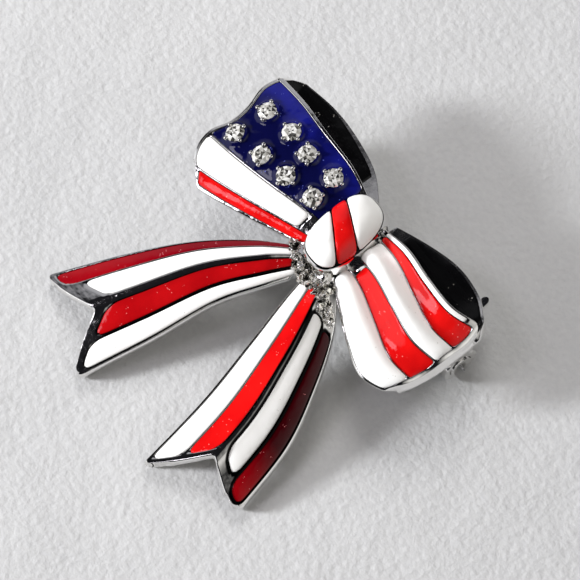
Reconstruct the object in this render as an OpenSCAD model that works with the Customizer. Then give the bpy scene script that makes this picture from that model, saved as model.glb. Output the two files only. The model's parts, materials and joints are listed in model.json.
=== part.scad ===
// Ribbon bow brooch with a stars and stripes enamel face, lying on its back
// +X is the bow's right, +Y its top and +Z its front; the brooch lies on z = 0

/* [Bow] */
// Height of the knot's crown above the surface that the brooch lies on
knot_top = 9.2; // [8.6:0.1:10]
// Half width of the knot, across the bow
knot_half_w = 2.55; // [2.2:0.05:3]
// Half length of the knot, along the bow's up direction
knot_half_l = 4.2; // [3.8:0.05:4.6]
// Thickness of the cast ribbon
wall = 0.9; // [0.8:0.05:1.1]
// Height of the metal lines between the enamel cells
line_h = 0.34; // [0.25:0.01:0.45]
// Width of those metal lines
line_w = 0.24; // [0.18:0.01:0.32]
// Height of the pleats across the right loop
pleat_h = 0.42; // [0.2:0.01:0.5]
// Height of the fold line along the middle of each tail
ridge_h = 0.75; // [0.3:0.05:1]

/* [Enamel] */
// Thickness of the enamel in its cells
enamel_t = 0.28; // [0.2:0.01:0.32]
// Clearance between the enamel and the metal under it
enamel_gap = 0.08; // [0.06:0.01:0.1]

/* [Stones] */
// Diameter of the round stones
stone_d = 2.0; // [1.8:0.05:2.1]
// Height of a stone's girdle above the metal
girdle_h = 0.38; // [0.3:0.02:0.5]

/* [Pin and catch] */
// Height of the pin stem's axis
axis_h = 1.9; // [1.8:0.05:2]
// Diameter of the pin stem
stem_d = 0.8; // [0.7:0.05:0.9]
// Outer diameter of the hinge ears and of the catch ring
ring_d = 3.8; // [3.6:0.05:4]
// Length of the catch lever from the pin's axis
lever_l = 6.5; // [4:0.1:7]
// Rise of the lever above the horizontal
lever_rise = 12; // [8:1:15]

/* [Hidden] */

// The ribbons are tabled from the knot's centre; this moves the middle of the outline to the origin
to_middle = [0.985, 8.755, 0];

metal_colour = "silver";
red_colour = [0.80, 0.05, 0.05];
white_colour = [0.95, 0.95, 0.92];
blue_colour = [0.06, 0.07, 0.40];
black_colour = [0.03, 0.03, 0.04];
stone_colour = [0.85, 0.88, 0.90];

// Each ribbon row gives both edges of its outer face, from the knot outwards:
// [low x, low y, low z, high x, high y, high z], low towards the tails and high towards the top
LEFT_FRONT = [
    [-1.0, -2.6, 6.1, -1.4, 4.4, 7.2],
    [-4.6, -3.8, 5.7, -5.0, 4.8, 8.0],
    [-8.8, -5.1, 5.5, -9.6, 4.9, 8.2],
    [-12.0, -6.3, 5.3, -13.4, 5.1, 8.0],
    [-13.9, -7.1, 5.1, -17.2, 5.1, 7.4]];
LEFT_BACK = [
    [-1.0, -1.6, 4.6, -1.1, 5.3, 4.9],
    [-4.6, -1.8, 4.4, -4.5, 7.5, 4.5],
    [-8.8, -2.2, 4.4, -8.8, 8.8, 4.4],
    [-12.0, -2.8, 4.4, -12.4, 8.9, 4.4],
    [-13.6, -4.4, 4.4, -15.9, 7.9, 4.9]];
RIGHT_FRONT = [
    [0.9, -2.8, 6.1, 1.0, 4.2, 7.2],
    [4.2, -4.2, 5.7, 4.6, 3.8, 8.0],
    [7.6, -5.8, 5.4, 8.4, 3.4, 8.1],
    [10.9, -6.9, 5.3, 11.8, 3.4, 7.9],
    [13.7, -6.0, 5.2, 14.7, 4.2, 7.0]];
RIGHT_BACK = [
    [0.9, -1.6, 4.6, 1.3, 5.3, 4.9],
    [4.2, -1.8, 4.4, 4.6, 6.6, 4.5],
    [7.4, -2.4, 4.4, 8.2, 7.4, 4.4],
    [10.8, -3.2, 4.4, 11.6, 7.0, 4.4],
    [13.5, -3.8, 4.4, 13.9, 5.8, 4.9]];
// How far each loop's far end swells past the straight line between its corners, at equal steps across
LEFT_SWELL = [0.2, 2.2, 2.4, 1.3, 0.8, 0.9, 0.1];
RIGHT_SWELL = [0, 0.8, 0.9, 1.0, 0.9, 0.6, 0];
// A tail's low edge is its left one
LEFT_TAIL = [
    [-2.0, -2.6, 6.0, 0.3, -3.4, 5.9],
    [-5.7, -5.9, 5.7, -1.5, -8.0, 5.2],
    [-9.7, -10.4, 4.7, -3.4, -12.6, 4.1],
    [-13.3, -15.4, 3.1, -4.7, -18.8, 2.6],
    [-17.2, -22.0, wall, -6.7, -26.4, wall]];
RIGHT_TAIL = [
    [-0.3, -3.2, 5.9, 2.6, -2.6, 6.0],
    [0.5, -7.5, 5.3, 6.2, -6.0, 5.0],
    [1.7, -12.8, 4.2, 9.2, -10.5, 3.9],
    [3.0, -18.8, 2.7, 11.6, -15.5, 2.4],
    [4.1, -26.5, wall, 13.0, -22.2, wall]];
ROWS = 4;
CELL_ROWS = 8;
TAIL_NOTCH = 0.125;
// The first pleat's crest, and the distance from crest to crest, both across the right loop
PLEAT_FIRST = 0.13;
PLEAT_STEP = 0.43;
// The black lining covers this part of a loop's back wall
lining_s = [0.9, 3.75];
lining_t = [0.35, 0.955];
lining_h = 0.22;
// The enamel starts and ends at these places along a ribbon
loop_s0 = 0.503;
loop_s1 = 3.768;
tail_s0 = 0.564;
tail_s1 = 3.867;
// Half width, in rows, of the metal line that closes a cell's end, and where the enamel stops before it
end_half = 0.048;
end_clear = 0.12;
// Clearance between the enamel and the metal line beside it
side_gap = 0.06;
// How deep the metal lines are rooted in the wall, and the ribbons' usual width
line_root = 0.12;
ribbon_span = 10;

// Lines between the cells of a ribbon: [place across at the knot, place across at the far end]
LEFT_LOOP_LINES = [[0.02, 0.02], [0.13, 0.16], [0.36, 0.36], [0.98, 0.98]];
RIGHT_LOOP_LINES = [[0.02, 0.02], [0.30, 0.27], [0.42, 0.47], [0.76, 0.68], [0.88, 0.90], [0.98, 0.98]];
LEFT_TAIL_LINES = [[0.03, 0.02], [0.24, 0.22], [0.50, 0.49], [0.76, 0.73], [0.97, 0.98]];
RIGHT_TAIL_LINES = [[0.03, 0.02], [0.30, 0.30], [0.52, 0.51], [0.78, 0.77], [0.97, 0.98]];

// Where each stone stands on the left loop's front: [along in rows, place across]
STONES = [
    [3.32, 0.79], [2.48, 0.81], [1.83, 0.78], [1.10, 0.80],
    [3.50, 0.50], [2.58, 0.51], [1.80, 0.51], [1.08, 0.51]];

// Each cell of the knot runs between two lines: [height on the knot's axis, slope across]
KNOT_WHITE_LOW = [[-3.95, 0], [-1.5, -0.64]];
KNOT_RED = [[-1.14, -0.64], [0.7, -0.48]];
KNOT_WHITE_HIGH = [[1.04, -0.48], [4.12, 0]];
knot_rim = 7.13;
knot_base = 4.4;
knot_y = 0.1;
knot_cell_rho = 0.95;
knot_cell_gap = 0.19;
// The search for a cell line's ends starts at this place across
knot_start = 0.2;
KNOT_SIDES = 24;
KNOT_SQUARE_X = 0.72;
KNOT_SQUARE_Y = 0.82;
KNOT_LEAN = 0.09;

// The pin's bar lies under both loops; the hinge is at its left end and the catch at its right
bar_top = 4.35;
bar_t = 0.7;
bar_w = 2.4;
bar_y = 2.1;
hinge_x = -12.5;
catch_x = 14.1;
ear_t = 0.7;
eye_t = 1.0;
ear_gap = 0.08;
rivet_r = 0.35;
rivet_clear = 0.03;
eye_r = 1.15;
housing_t = 1.6;
roller_r = 1.2;
roller_clear = 0.06;
roller_bore_r = 0.58;
slot_w = 1.1;
collar_d = 3.5;
collar_t = 1.5;
collar_gap = 0.9;
lever_w = 1.1;
lever_t = 0.6;
tip_x = 15.5;
point_l = 4.9;
shank_d = 1;
shank_l = 2.2;

stone_r = stone_d / 2;
stone_gap = 0.03;
cup_wall = 0.15;
cup_r = stone_r + stone_gap + cup_wall;
prong_bead_r = 0.14;
prong_stalk_r = 0.06;
prong_inset = 0.09;
PRONGS = 4;
CUP_SIDES = 8;
cup_root = 0.6;
cup_depth = 0.85;
cup_bore_r = (stone_r + stone_gap) / cos(180 / CUP_SIDES);

function blend(a, b, k) = a + (b - a) * k;
function low_edge(row) = [row[0], row[1], row[2]];
function high_edge(row) = [row[3], row[4], row[5]];
function unit(v) = v / norm(v);

// A smooth curve through the rows of a table, with s counting rows
function row_at(table, s) =
    let (i = min(max(floor(s), 0), len(table) - 2), k = s - i,
        p = table[max(i - 1, 0)], q = table[i], r = table[i + 1], w = table[min(i + 2, len(table) - 1)])
    q + 0.5 * k * ((r - p) + k * ((2 * p - 5 * q + 4 * r - w) + k * (3 * (q - r) + w - p)));

function on_row(table, s, t) =
    let (row = row_at(table, s)) blend(low_edge(row), high_edge(row), t);

// A loop's front bends down towards its low edge; the right one is pleated along its stripes
function drape(t) = 1 - (1 - t) * (1 - t);
function swell(list, s, t) = row_at(list, t * (len(list) - 1)) * pow(s / ROWS, 3);
function front_point(table, s, t, out, pleat) =
    let (row = row_at(table, s), flat = on_row(table, s, t))
    [flat[0] + out, flat[1], blend(row[2], row[5], drape(t))
        + pleat * (s / ROWS) * cos(360 * (t - PLEAT_FIRST) / PLEAT_STEP)];

// A tail folds along its middle, and its end is cut back to a notch
function tail_reach(t) = ROWS * (1 - TAIL_NOTCH * (1 - abs(2 * t - 1)));
function tail_point(table, s, t) =
    let (flat = on_row(table, s / ROWS * tail_reach(t), t))
    flat + [0, 0, ridge_h * min(s, 1) * (1 - abs(2 * t - 1))];

// kind picks the ribbon: 0 left loop, 1 right loop, 2 left tail, 3 right tail
function face_point(kind, s, t) =
    kind == 0 ? front_point(LEFT_FRONT, s, t, -swell(LEFT_SWELL, s, t), 0)
    : kind == 1 ? front_point(RIGHT_FRONT, s, t, swell(RIGHT_SWELL, s, t), pleat_h)
    : kind == 2 ? tail_point(LEFT_TAIL, s, t)
    : tail_point(RIGHT_TAIL, s, t);

function steps(a, b, n) = [for (i = [0:n]) blend(a, b, i / n)];
function raised(grid, h) = [for (line = grid) [for (p = line) p + [0, 0, h]]];
function shifted(grid, by) = [for (line = grid) [for (p = line) p + by]];

// Closed solid between two grids of points with the same rows and columns
module slab(top, under) {
    rows = len(top);
    cols = len(top[0]);
    half = rows * cols;
    points = concat([for (line = top) for (p = line) p], [for (line = under) for (p = line) p]);
    a = [for (r = [0:rows - 2]) for (c = [0:cols - 2]) r * cols + c];
    upper = [for (i = a) for (f = [[i, i + 1, i + cols + 1], [i, i + cols + 1, i + cols]]) f];
    lower = [for (f = upper) [f[2] + half, f[1] + half, f[0] + half]];
    rim = concat(
        [for (c = [0:cols - 1]) c],
        [for (r = [1:rows - 1]) r * cols + cols - 1],
        [for (c = [cols - 2:-1:0]) (rows - 1) * cols + c],
        [for (r = [rows - 2:-1:1]) r * cols]);
    sides = [for (k = [0:len(rim) - 1])
        let (p = rim[k], q = rim[(k + 1) % len(rim)])
        for (f = [[q, p, p + half], [q, p + half, q + half]]) f];
    polyhedron(points, concat(upper, lower, sides));
}

// Places across a ribbon in row s; a line is [place at the knot, place at the far end]
function line_place(line, s) = blend(line[0], line[1], s / ROWS);
function between(line, next, s, inset, n) =
    steps(line_place(line, s) + inset, line_place(next, s) - inset, n);

// Grid over part of a ribbon: rows from s0 to s1, and in each row n steps from one line to the next
function patch(kind, s0, s1, rows, line, next, inset, n) =
    [for (s = steps(s0, s1, rows)) [for (t = between(line, next, s, inset, n)) face_point(kind, s, t)]];

// The left loop runs the other way round, so its grids are read backwards
function facing(kind, grid) = kind == 0 ? [for (i = [len(grid) - 1:-1:0]) grid[i]] : grid;

module ribbon_slab(kind, grid, h0, h1) {
    g = facing(kind, grid);
    slab(raised(g, h1), raised(g, h0));
}

// Cast wall of a ribbon, with its metal lines along it and across its ends
module ribbon_wall(kind, lines, s0, s1, nt) {
    ribbon_slab(kind, patch(kind, 0, ROWS, 7, [0, 0], [1, 1], 0, nt), -wall, 0);
    half_w = line_w / 2 / ribbon_span;
    for (line = lines)
        ribbon_slab(kind, patch(kind, s0, s1, 6, line, line, -half_w, 1), -line_root, line_h);
    for (s = [s0, s1])
        ribbon_slab(kind, patch(kind, s - end_half, s + end_half, 1, lines[0], lines[len(lines) - 1], 0, nt),
            -line_root, line_h);
}

// Enamel of the cell between line i and the next one
module enamel_cell(kind, lines, i, s0, s1, nt) {
    inset = line_w / 2 / ribbon_span + side_gap / ribbon_span;
    cell = patch(kind, s0 + end_clear, s1 - end_clear, CELL_ROWS, lines[i], lines[i + 1], inset, nt);
    ribbon_slab(kind, cell, enamel_gap, enamel_gap + enamel_t);
}

function back_grid(table, inset) =
    [for (s = steps(0, ROWS, 8)) [for (t = steps(inset, 1 - inset, 3)) on_row(table, s, t)]];

// Back wall of a loop, and the turn that joins it to the front at the far end
module loop_back(kind, back_table, front_table) {
    side = kind == 0 ? -1 : 1;
    g = facing(kind, back_grid(back_table, 0));
    slab(raised(g, wall), g);
    turn = [for (k = steps(0, 1, 6))
        [for (t = steps(0, 1, 6))
            blend(face_point(kind, ROWS, t) - [side * 0.25, 0, 0.12],
                on_row(back_table, ROWS, t) + [-side * 0.1, 0, 0.1], k)
            + [side * 0.9 * sin(180 * k), 0, 0]]];
    t = facing(kind, turn);
    slab(t, shifted(t, [-side * wall, 0, 0]));
}

module loop_lining(kind, back_table) {
    g = facing(kind, [for (s = steps(lining_s[0], lining_s[1], 9))
        [for (t = steps(lining_t[0], lining_t[1], 4)) on_row(back_table, s, t)]]);
    color(black_colour) translate(to_middle)
        slab(raised(g, wall + enamel_gap + lining_h), raised(g, wall + enamel_gap));
}

// The knot is an oval pillow that leans a little; its plan scales by rho from the middle to the rim
function knot_dome(rho, crown) = knot_rim + (crown - knot_rim) * pow(max(1 - pow(rho, 2.6), 0), 0.62);
function knot_outline(rho, z) = [for (i = [0:KNOT_SIDES - 1])
    let (a = 360 * i / KNOT_SIDES, c = cos(a), d = sin(a),
        x = knot_half_w * rho * sign(c) * pow(abs(c), KNOT_SQUARE_X),
        y = knot_half_l * rho * sign(d) * pow(abs(d), KNOT_SQUARE_Y))
    [x - KNOT_LEAN * y, y + knot_y, z]];

// The plan's scale at a point, found by halving
function knot_rho(x, y, low = 0, high = 1.5, n = 14) =
    let (mid = (low + high) / 2, v = y - knot_y, u = x + KNOT_LEAN * v,
        f = pow(abs(u) / (knot_half_w * mid), 2 / KNOT_SQUARE_X)
            + pow(abs(v) / (knot_half_l * mid), 2 / KNOT_SQUARE_Y))
    n == 0 ? mid : f > 1 ? knot_rho(x, y, mid, high, n - 1) : knot_rho(x, y, low, mid, n - 1);

// Where a cell's line reaches the rim on one side
function chord_end(line, side, near = 0, far = 4, n = 14) =
    let (mid = (near + far) / 2, x = knot_start + side * mid)
    n == 0 ? x
    : knot_rho(x, line[0] + line[1] * x) < knot_cell_rho ? chord_end(line, side, mid, far, n - 1)
    : chord_end(line, side, near, mid, n - 1);

function knot_cell_grid(low, high, rows, cols) =
    [for (line = steps(high, low, rows))
        [for (x = steps(chord_end(line, -1), chord_end(line, 1), cols))
            let (y = line[0] + line[1] * x) [x, y, knot_dome(knot_rho(x, y), knot_top)]]];

module knot_pillow() {
    rings = concat([knot_outline(1, knot_base)],
        [for (rho = [1, 0.985, 0.95, 0.88, 0.76, 0.58, 0.35]) knot_outline(rho, knot_dome(rho, knot_top))]);
    n = KNOT_SIDES;
    last = (len(rings) - 1) * n;
    points = concat([for (ring = rings) for (p = ring) p], [[0, knot_y, knot_top]]);
    walls = [for (r = [0:len(rings) - 2]) for (i = [0:n - 1])
        let (a = r * n + i, b = r * n + (i + 1) % n)
        for (f = [[a, a + n, b + n], [a, b + n, b]]) f];
    crown = [for (i = [0:n - 1]) [last + i, len(points) - 1, last + (i + 1) % n]];
    polyhedron(points, concat([[for (i = [0:n - 1]) i]], walls, crown));
}

module knot_cell(lines, rows, colour) {
    g = knot_cell_grid(lines[0], lines[1], rows, 8);
    color(colour) translate(to_middle) slab(raised(g, knot_cell_gap + enamel_t), raised(g, knot_cell_gap));
}

// A stone's frame: its place on the left loop and the face's normal there
function stone_place(i) = face_point(0, STONES[i][0], STONES[i][1]);
function stone_normal(i) =
    let (s = STONES[i][0], t = STONES[i][1], e = 0.05)
    unit(cross(face_point(0, s, t + e) - face_point(0, s, t - e),
        face_point(0, s + e, t) - face_point(0, s - e, t)));

module at_stone(i) {
    n = stone_normal(i);
    translate(stone_place(i)) rotate([0, acos(n[2]), atan2(n[1], n[0])]) children();
}

module stone_cup() {
    translate([0, 0, -cup_root]) cylinder(r = cup_r, h = girdle_h + cup_root, $fn = CUP_SIDES);
    for (i = [0:PRONGS - 1]) rotate(45 + 360 * i / PRONGS) hull() {
        translate([cup_r - prong_inset, 0, girdle_h - 0.1]) cylinder(r = prong_stalk_r, h = 0.1, $fn = 4);
        translate([stone_r + 0.05, 0, girdle_h + 0.25]) sphere(r = prong_bead_r, $fn = 5);
    }
}

module stone(i) {
    color(stone_colour) translate(to_middle) at_stone(i) translate([0, 0, girdle_h]) {
        cylinder(r1 = stone_r, r2 = stone_r * 0.55, h = 0.33, $fn = 48);
        translate([0, 0, -0.72]) cylinder(r1 = 0.12, r2 = stone_r, h = 0.72, $fn = 48);
    }
}

module casting() {
    color(metal_colour) translate(to_middle) difference() {
        union() {
            ribbon_wall(0, LEFT_LOOP_LINES, loop_s0, loop_s1, 5);
            ribbon_wall(1, RIGHT_LOOP_LINES, loop_s0, loop_s1, 9);
            ribbon_wall(2, LEFT_TAIL_LINES, tail_s0, tail_s1, 4);
            ribbon_wall(3, RIGHT_TAIL_LINES, tail_s0, tail_s1, 4);
            loop_back(0, LEFT_BACK);
            loop_back(1, RIGHT_BACK);
            knot_pillow();
            for (i = [0:len(STONES) - 1]) at_stone(i) stone_cup();
        }
        for (i = [0:len(STONES) - 1]) at_stone(i)
            translate([0, 0, girdle_h - cup_depth])
                cylinder(r = cup_bore_r, h = 2 * cup_depth, $fn = CUP_SIDES);
    }
}

module along_x(x, y, z) {
    translate([x, y, z]) rotate([0, 90, 0]) children();
}

module along_y(x, y, z) {
    translate([x, y, z]) rotate([-90, 0, 0]) children();
}

// Bar with two hinge ears at the left and the slotted catch ring at the right
module pin_bar() {
    ear_y = eye_t / 2 + ear_gap;
    color(metal_colour) translate(to_middle) difference() {
        union() {
            translate([hinge_x - 1.2, bar_y - bar_w / 2, bar_top - bar_t])
                cube([catch_x + housing_t / 2 - hinge_x + 1.2, bar_w, bar_t]);
            for (y = [bar_y - ear_y - ear_t, bar_y + ear_y]) {
                along_y(hinge_x, y, axis_h) cylinder(d = ring_d, h = ear_t, $fn = 64);
                translate([hinge_x - 1.2, y, axis_h]) cube([2.4, ear_t, bar_top - axis_h - 0.1]);
            }
            along_x(catch_x - housing_t / 2, bar_y, axis_h) cylinder(d = ring_d, h = housing_t, $fn = 64);
            translate([catch_x - housing_t / 2, bar_y - 0.9, axis_h + 1.4])
                cube([housing_t, 1.8, bar_top - axis_h - 1.5]);
        }
        along_y(hinge_x, bar_y - 3, axis_h) cylinder(r = rivet_r, h = 6, $fn = 48);
        along_x(catch_x - 3, bar_y, axis_h) cylinder(r = roller_r + roller_clear, h = 6, $fn = 64);
        translate([catch_x - 3, bar_y - slot_w / 2, axis_h - 3]) cube([6, slot_w, 3]);
    }
}

module hinge_rivet() {
    reach = eye_t / 2 + ear_gap + ear_t;
    color(metal_colour) translate(to_middle)
        along_y(hinge_x, bar_y - reach, axis_h) cylinder(r = rivet_r, h = 2 * reach, $fn = 48);
}

// Stem with its eye, pointed at the free end
module pin_stem() {
    straight_l = tip_x - point_l - hinge_x - 0.5;
    color("gainsboro") translate(to_middle) difference() {
        union() {
            along_y(hinge_x, bar_y - eye_t / 2, axis_h) cylinder(r = eye_r, h = eye_t, $fn = 64);
            along_x(hinge_x + 0.5, bar_y, axis_h) cylinder(d1 = shank_d, d2 = stem_d, h = shank_l - 0.5, $fn = 48);
            along_x(hinge_x + 0.5, bar_y, axis_h) cylinder(d = stem_d, h = straight_l, $fn = 48);
            along_x(tip_x - point_l, bar_y, axis_h) cylinder(d1 = stem_d, d2 = 0.16, h = point_l, $fn = 48);
        }
        along_y(hinge_x, bar_y - 1, axis_h) cylinder(r = rivet_r + rivet_clear, h = 2, $fn = 48);
    }
}

// Slotted roller inside the catch ring, with a collar and a lever on its inner end
module catch_roller() {
    collar_x = catch_x - housing_t / 2 - collar_gap - collar_t;
    roller_l = catch_x + housing_t / 2 + 0.1 - collar_x;
    straight_l = lever_l - lever_w / 2;
    color(metal_colour) translate(to_middle) difference() {
        union() {
            along_x(collar_x, bar_y, axis_h) cylinder(d = collar_d, h = collar_t, $fn = 64);
            along_x(collar_x + 0.2, bar_y, axis_h) cylinder(r = roller_r, h = roller_l - 0.2, $fn = 64);
            translate([collar_x + collar_t / 2, bar_y, axis_h]) rotate([lever_rise, 0, 0]) {
                translate([-lever_w / 2, 1, -lever_t / 2]) cube([lever_w, straight_l - 1, lever_t]);
                translate([0, straight_l, -lever_t / 2]) cylinder(d = lever_w, h = lever_t, $fn = 32);
            }
        }
        along_x(collar_x - 1, bar_y, axis_h) cylinder(r = roller_bore_r, h = 8, $fn = 48);
        translate([collar_x - 1, bar_y - slot_w / 2, axis_h - 3]) cube([8, slot_w, 3]);
    }
}

module loop_cell(kind, lines, i, colour) {
    color(colour) translate(to_middle) enamel_cell(kind, lines, i, loop_s0, loop_s1, 3);
}

module tail_cell(kind, lines, i, colour) {
    color(colour) translate(to_middle) enamel_cell(kind, lines, i, tail_s0, tail_s1, 2);
}

module left_loop_blue() {
    color(blue_colour) translate(to_middle) difference() {
        enamel_cell(0, LEFT_LOOP_LINES, 2, loop_s0, loop_s1, 4);
        for (i = [0:len(STONES) - 1]) at_stone(i)
            translate([0, 0, -1]) cylinder(r = cup_r + enamel_gap, h = 3, $fn = 48);
    }
}

casting();
pin_bar();
hinge_rivet();
pin_stem();
catch_roller();
left_loop_blue();
loop_cell(0, LEFT_LOOP_LINES, 1, white_colour);  // left_loop_white
loop_cell(0, LEFT_LOOP_LINES, 0, red_colour);  // left_loop_red
loop_lining(0, LEFT_BACK);  // left_loop_lining
loop_cell(1, RIGHT_LOOP_LINES, 0, white_colour);  // right_loop_white_low
loop_cell(1, RIGHT_LOOP_LINES, 1, red_colour);  // right_loop_red_low
loop_cell(1, RIGHT_LOOP_LINES, 2, white_colour);  // right_loop_white_mid
loop_cell(1, RIGHT_LOOP_LINES, 3, red_colour);  // right_loop_red_high
loop_cell(1, RIGHT_LOOP_LINES, 4, white_colour);  // right_loop_white_rim
loop_lining(1, RIGHT_BACK);  // right_loop_lining
tail_cell(2, LEFT_TAIL_LINES, 0, red_colour);  // left_tail_red_outer
tail_cell(2, LEFT_TAIL_LINES, 1, white_colour);  // left_tail_white_outer
tail_cell(2, LEFT_TAIL_LINES, 2, red_colour);  // left_tail_red_inner
tail_cell(2, LEFT_TAIL_LINES, 3, white_colour);  // left_tail_white_inner
tail_cell(3, RIGHT_TAIL_LINES, 0, white_colour);  // right_tail_white_inner
tail_cell(3, RIGHT_TAIL_LINES, 1, red_colour);  // right_tail_red_inner
tail_cell(3, RIGHT_TAIL_LINES, 2, white_colour);  // right_tail_white_outer
tail_cell(3, RIGHT_TAIL_LINES, 3, red_colour);  // right_tail_red_outer
knot_cell(KNOT_WHITE_LOW, 6, white_colour);  // knot_white_low
knot_cell(KNOT_RED, 4, red_colour);  // knot_red
knot_cell(KNOT_WHITE_HIGH, 6, white_colour);  // knot_white_high
stone(0);  // stone_1
stone(1);  // stone_2
stone(2);  // stone_3
stone(3);  // stone_4
stone(4);  // stone_5
stone(5);  // stone_6
stone(6);  // stone_7
stone(7);  // stone_8
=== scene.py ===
"""Ribbon bow brooch with a flag pattern: polished metal, glossy enamel, round stones and a hinged pin."""

import json
import logging
import math
from dataclasses import dataclass
from enum import Enum
from functools import cache
from statistics import fmean
from typing import Callable, Optional, Sequence

import bmesh
import bpy
import numpy as np
from mathutils import Matrix, Vector

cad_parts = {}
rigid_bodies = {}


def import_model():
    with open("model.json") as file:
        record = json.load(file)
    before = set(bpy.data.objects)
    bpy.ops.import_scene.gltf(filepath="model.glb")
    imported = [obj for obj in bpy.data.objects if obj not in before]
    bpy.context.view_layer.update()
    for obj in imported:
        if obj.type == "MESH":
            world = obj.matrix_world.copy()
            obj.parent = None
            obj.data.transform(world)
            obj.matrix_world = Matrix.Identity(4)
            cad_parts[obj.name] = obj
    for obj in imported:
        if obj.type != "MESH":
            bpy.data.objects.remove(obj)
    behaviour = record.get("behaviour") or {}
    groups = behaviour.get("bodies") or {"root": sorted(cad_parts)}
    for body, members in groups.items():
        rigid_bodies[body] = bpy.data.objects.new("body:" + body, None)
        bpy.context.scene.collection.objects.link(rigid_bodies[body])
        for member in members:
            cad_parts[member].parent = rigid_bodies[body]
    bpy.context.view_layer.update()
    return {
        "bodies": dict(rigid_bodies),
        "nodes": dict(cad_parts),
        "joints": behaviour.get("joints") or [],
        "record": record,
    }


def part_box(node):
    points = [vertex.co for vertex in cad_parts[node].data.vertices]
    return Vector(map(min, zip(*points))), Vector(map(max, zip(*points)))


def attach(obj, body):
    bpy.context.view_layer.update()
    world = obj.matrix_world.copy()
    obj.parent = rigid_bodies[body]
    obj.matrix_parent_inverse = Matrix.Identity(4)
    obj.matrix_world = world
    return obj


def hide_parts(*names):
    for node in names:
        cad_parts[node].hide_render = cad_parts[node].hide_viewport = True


Array = np.ndarray
Axes = tuple[float, float, float]
Colour = tuple[float, float, float]
Marks = Sequence[tuple[float, Colour]]
Pair = tuple[float, float]
Socket = bpy.types.NodeSocket
Thing = bpy.types.Object
LOG = logging.getLogger("brooch")

MM = 0.001
# The ribbons are tabled from the knot's centre; the frame's origin is the middle of the outline
TO_MIDDLE = np.array([0.985, 8.755, 0.0])
UP = np.array([0.0, 0.0, 1.0])
ROWS = 4
# How often a range is halved to find a place on an outline
HALVINGS = 26

# Rows of each ribbon from the knot outwards, in mm: low x, y, z and high x, y, z
LEFT_FRONT = np.array([
    [-1.0, -2.55, 6.1, -1.4, 4.4, 7.2],
    [-4.6, -3.9, 5.7, -5.0, 5.2, 8.0],
    [-8.8, -5.5, 5.4, -9.6, 5.5, 8.2],
    [-12.0, -6.62, 5.2, -13.3, 5.9, 8.0],
    [-13.8, -7.1, 5.0, -16.95, 6.0, 7.4]])
LEFT_BACK = np.array([
    [-1.0, -1.6, 4.6, -1.1, 5.3, 4.9],
    [-4.6, -1.8, 4.4, -4.5, 7.4, 4.5],
    [-8.8, -2.2, 4.4, -8.8, 8.4, 4.4],
    [-12.0, -2.8, 4.4, -12.4, 8.6, 4.4],
    [-13.6, -4.4, 4.4, -15.9, 8.0, 4.9]])
RIGHT_FRONT = np.array([
    [0.9, -2.8, 6.1, 0.3, 3.5, 6.9],
    [4.2, -4.2, 5.7, 4.6, 3.8, 8.0],
    [7.6, -5.8, 5.4, 8.4, 3.4, 8.1],
    [10.9, -6.9, 5.3, 11.8, 3.4, 7.9],
    [13.7, -6.0, 5.2, 14.35, 4.7, 7.0]])
RIGHT_BACK = np.array([
    [0.9, -1.6, 4.6, 1.3, 5.3, 4.9],
    [4.2, -1.8, 4.4, 4.6, 6.6, 4.5],
    [7.4, -2.4, 4.4, 8.2, 7.4, 4.4],
    [10.8, -3.2, 4.4, 11.6, 7.0, 4.4],
    [13.5, -3.8, 4.4, 13.9, 5.8, 4.9]])
LEFT_TAIL = np.array([
    [-2.0, -2.6, 6.0, 0.3, -3.4, 5.9],
    [-5.7, -5.9, 5.7, -1.5, -8.0, 5.2],
    [-9.7, -10.4, 4.7, -3.4, -12.6, 4.1],
    [-13.3, -15.9, 3.1, -4.7, -19.3, 2.6],
    [-17.2, -23.0, 0.9, -6.65, -27.3, 0.9]])
RIGHT_TAIL = np.array([
    [-0.3, -3.2, 5.9, 2.6, -2.6, 6.0],
    [0.5, -7.5, 5.3, 6.2, -6.0, 5.0],
    [1.7, -12.8, 4.2, 9.2, -10.5, 3.9],
    [3.0, -19.2, 2.7, 11.8, -15.9, 2.4],
    [3.95, -27.3, 0.9, 13.4, -23.2, 0.9]])
# How far each loop's far end swells past the straight line between its corners
LEFT_SWELL = np.array([0.2, 2.2, 2.35, 1.15, 0.75, 0.9, 0.1])
RIGHT_SWELL = np.array([0.0, 0.8, 1.05, 1.25, 1.18, 0.95, 0.45])
# Where each stone stands on the left loop's face: rows along and place across
STONES = [(3.386, 0.734), (2.504, 0.758), (1.837, 0.734), (1.104, 0.758),
          (3.529, 0.457), (2.592, 0.469), (1.803, 0.473), (1.082, 0.476)]
# How far each stone's prongs are turned, as parts of a quarter turn
PRONG_TURNS = [0.3, 1.0, 0.55, 0.15, 0.9, 0.4, 0.05, 0.7]


def unit(v: Array) -> Array:
    """Vectors of length one along the last axis."""
    return v / np.maximum(np.linalg.norm(v, axis=-1, keepdims=True), 1e-12)


def curve_at(table: Array, s: Array) -> Array:
    """Points on the smooth curve through a table's rows.

    Args:
        table: one row per knot of the curve.
        s: places along it, counting rows.

    Returns:
        One row, or one number for a flat table, at each place.
    """
    s = np.asarray(s, float)
    last = len(table) - 1
    i = np.clip(np.floor(s).astype(int), 0, last - 1)
    k = s - i
    if table.ndim > 1:
        k = k[..., None]
    p, q = table[np.maximum(i - 1, 0)], table[i]
    r, w = table[i + 1], table[np.minimum(i + 2, last)]
    return q + 0.5 * k * ((r - p) + k * ((2 * p - 5 * q + 4 * r - w) + k * (3 * (q - r) + w - p)))


def between(row: Array, t: Array) -> Array:
    """Points between the low and high edges of a table's row."""
    return row[..., :3] + (row[..., 3:] - row[..., :3]) * t[..., None]


def spread(count: int) -> Array:
    """Fractions from 0 to 1 that crowd towards both ends."""
    return 0.5 - 0.5 * np.cos(np.pi * np.linspace(0, 1, count + 1))


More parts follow.
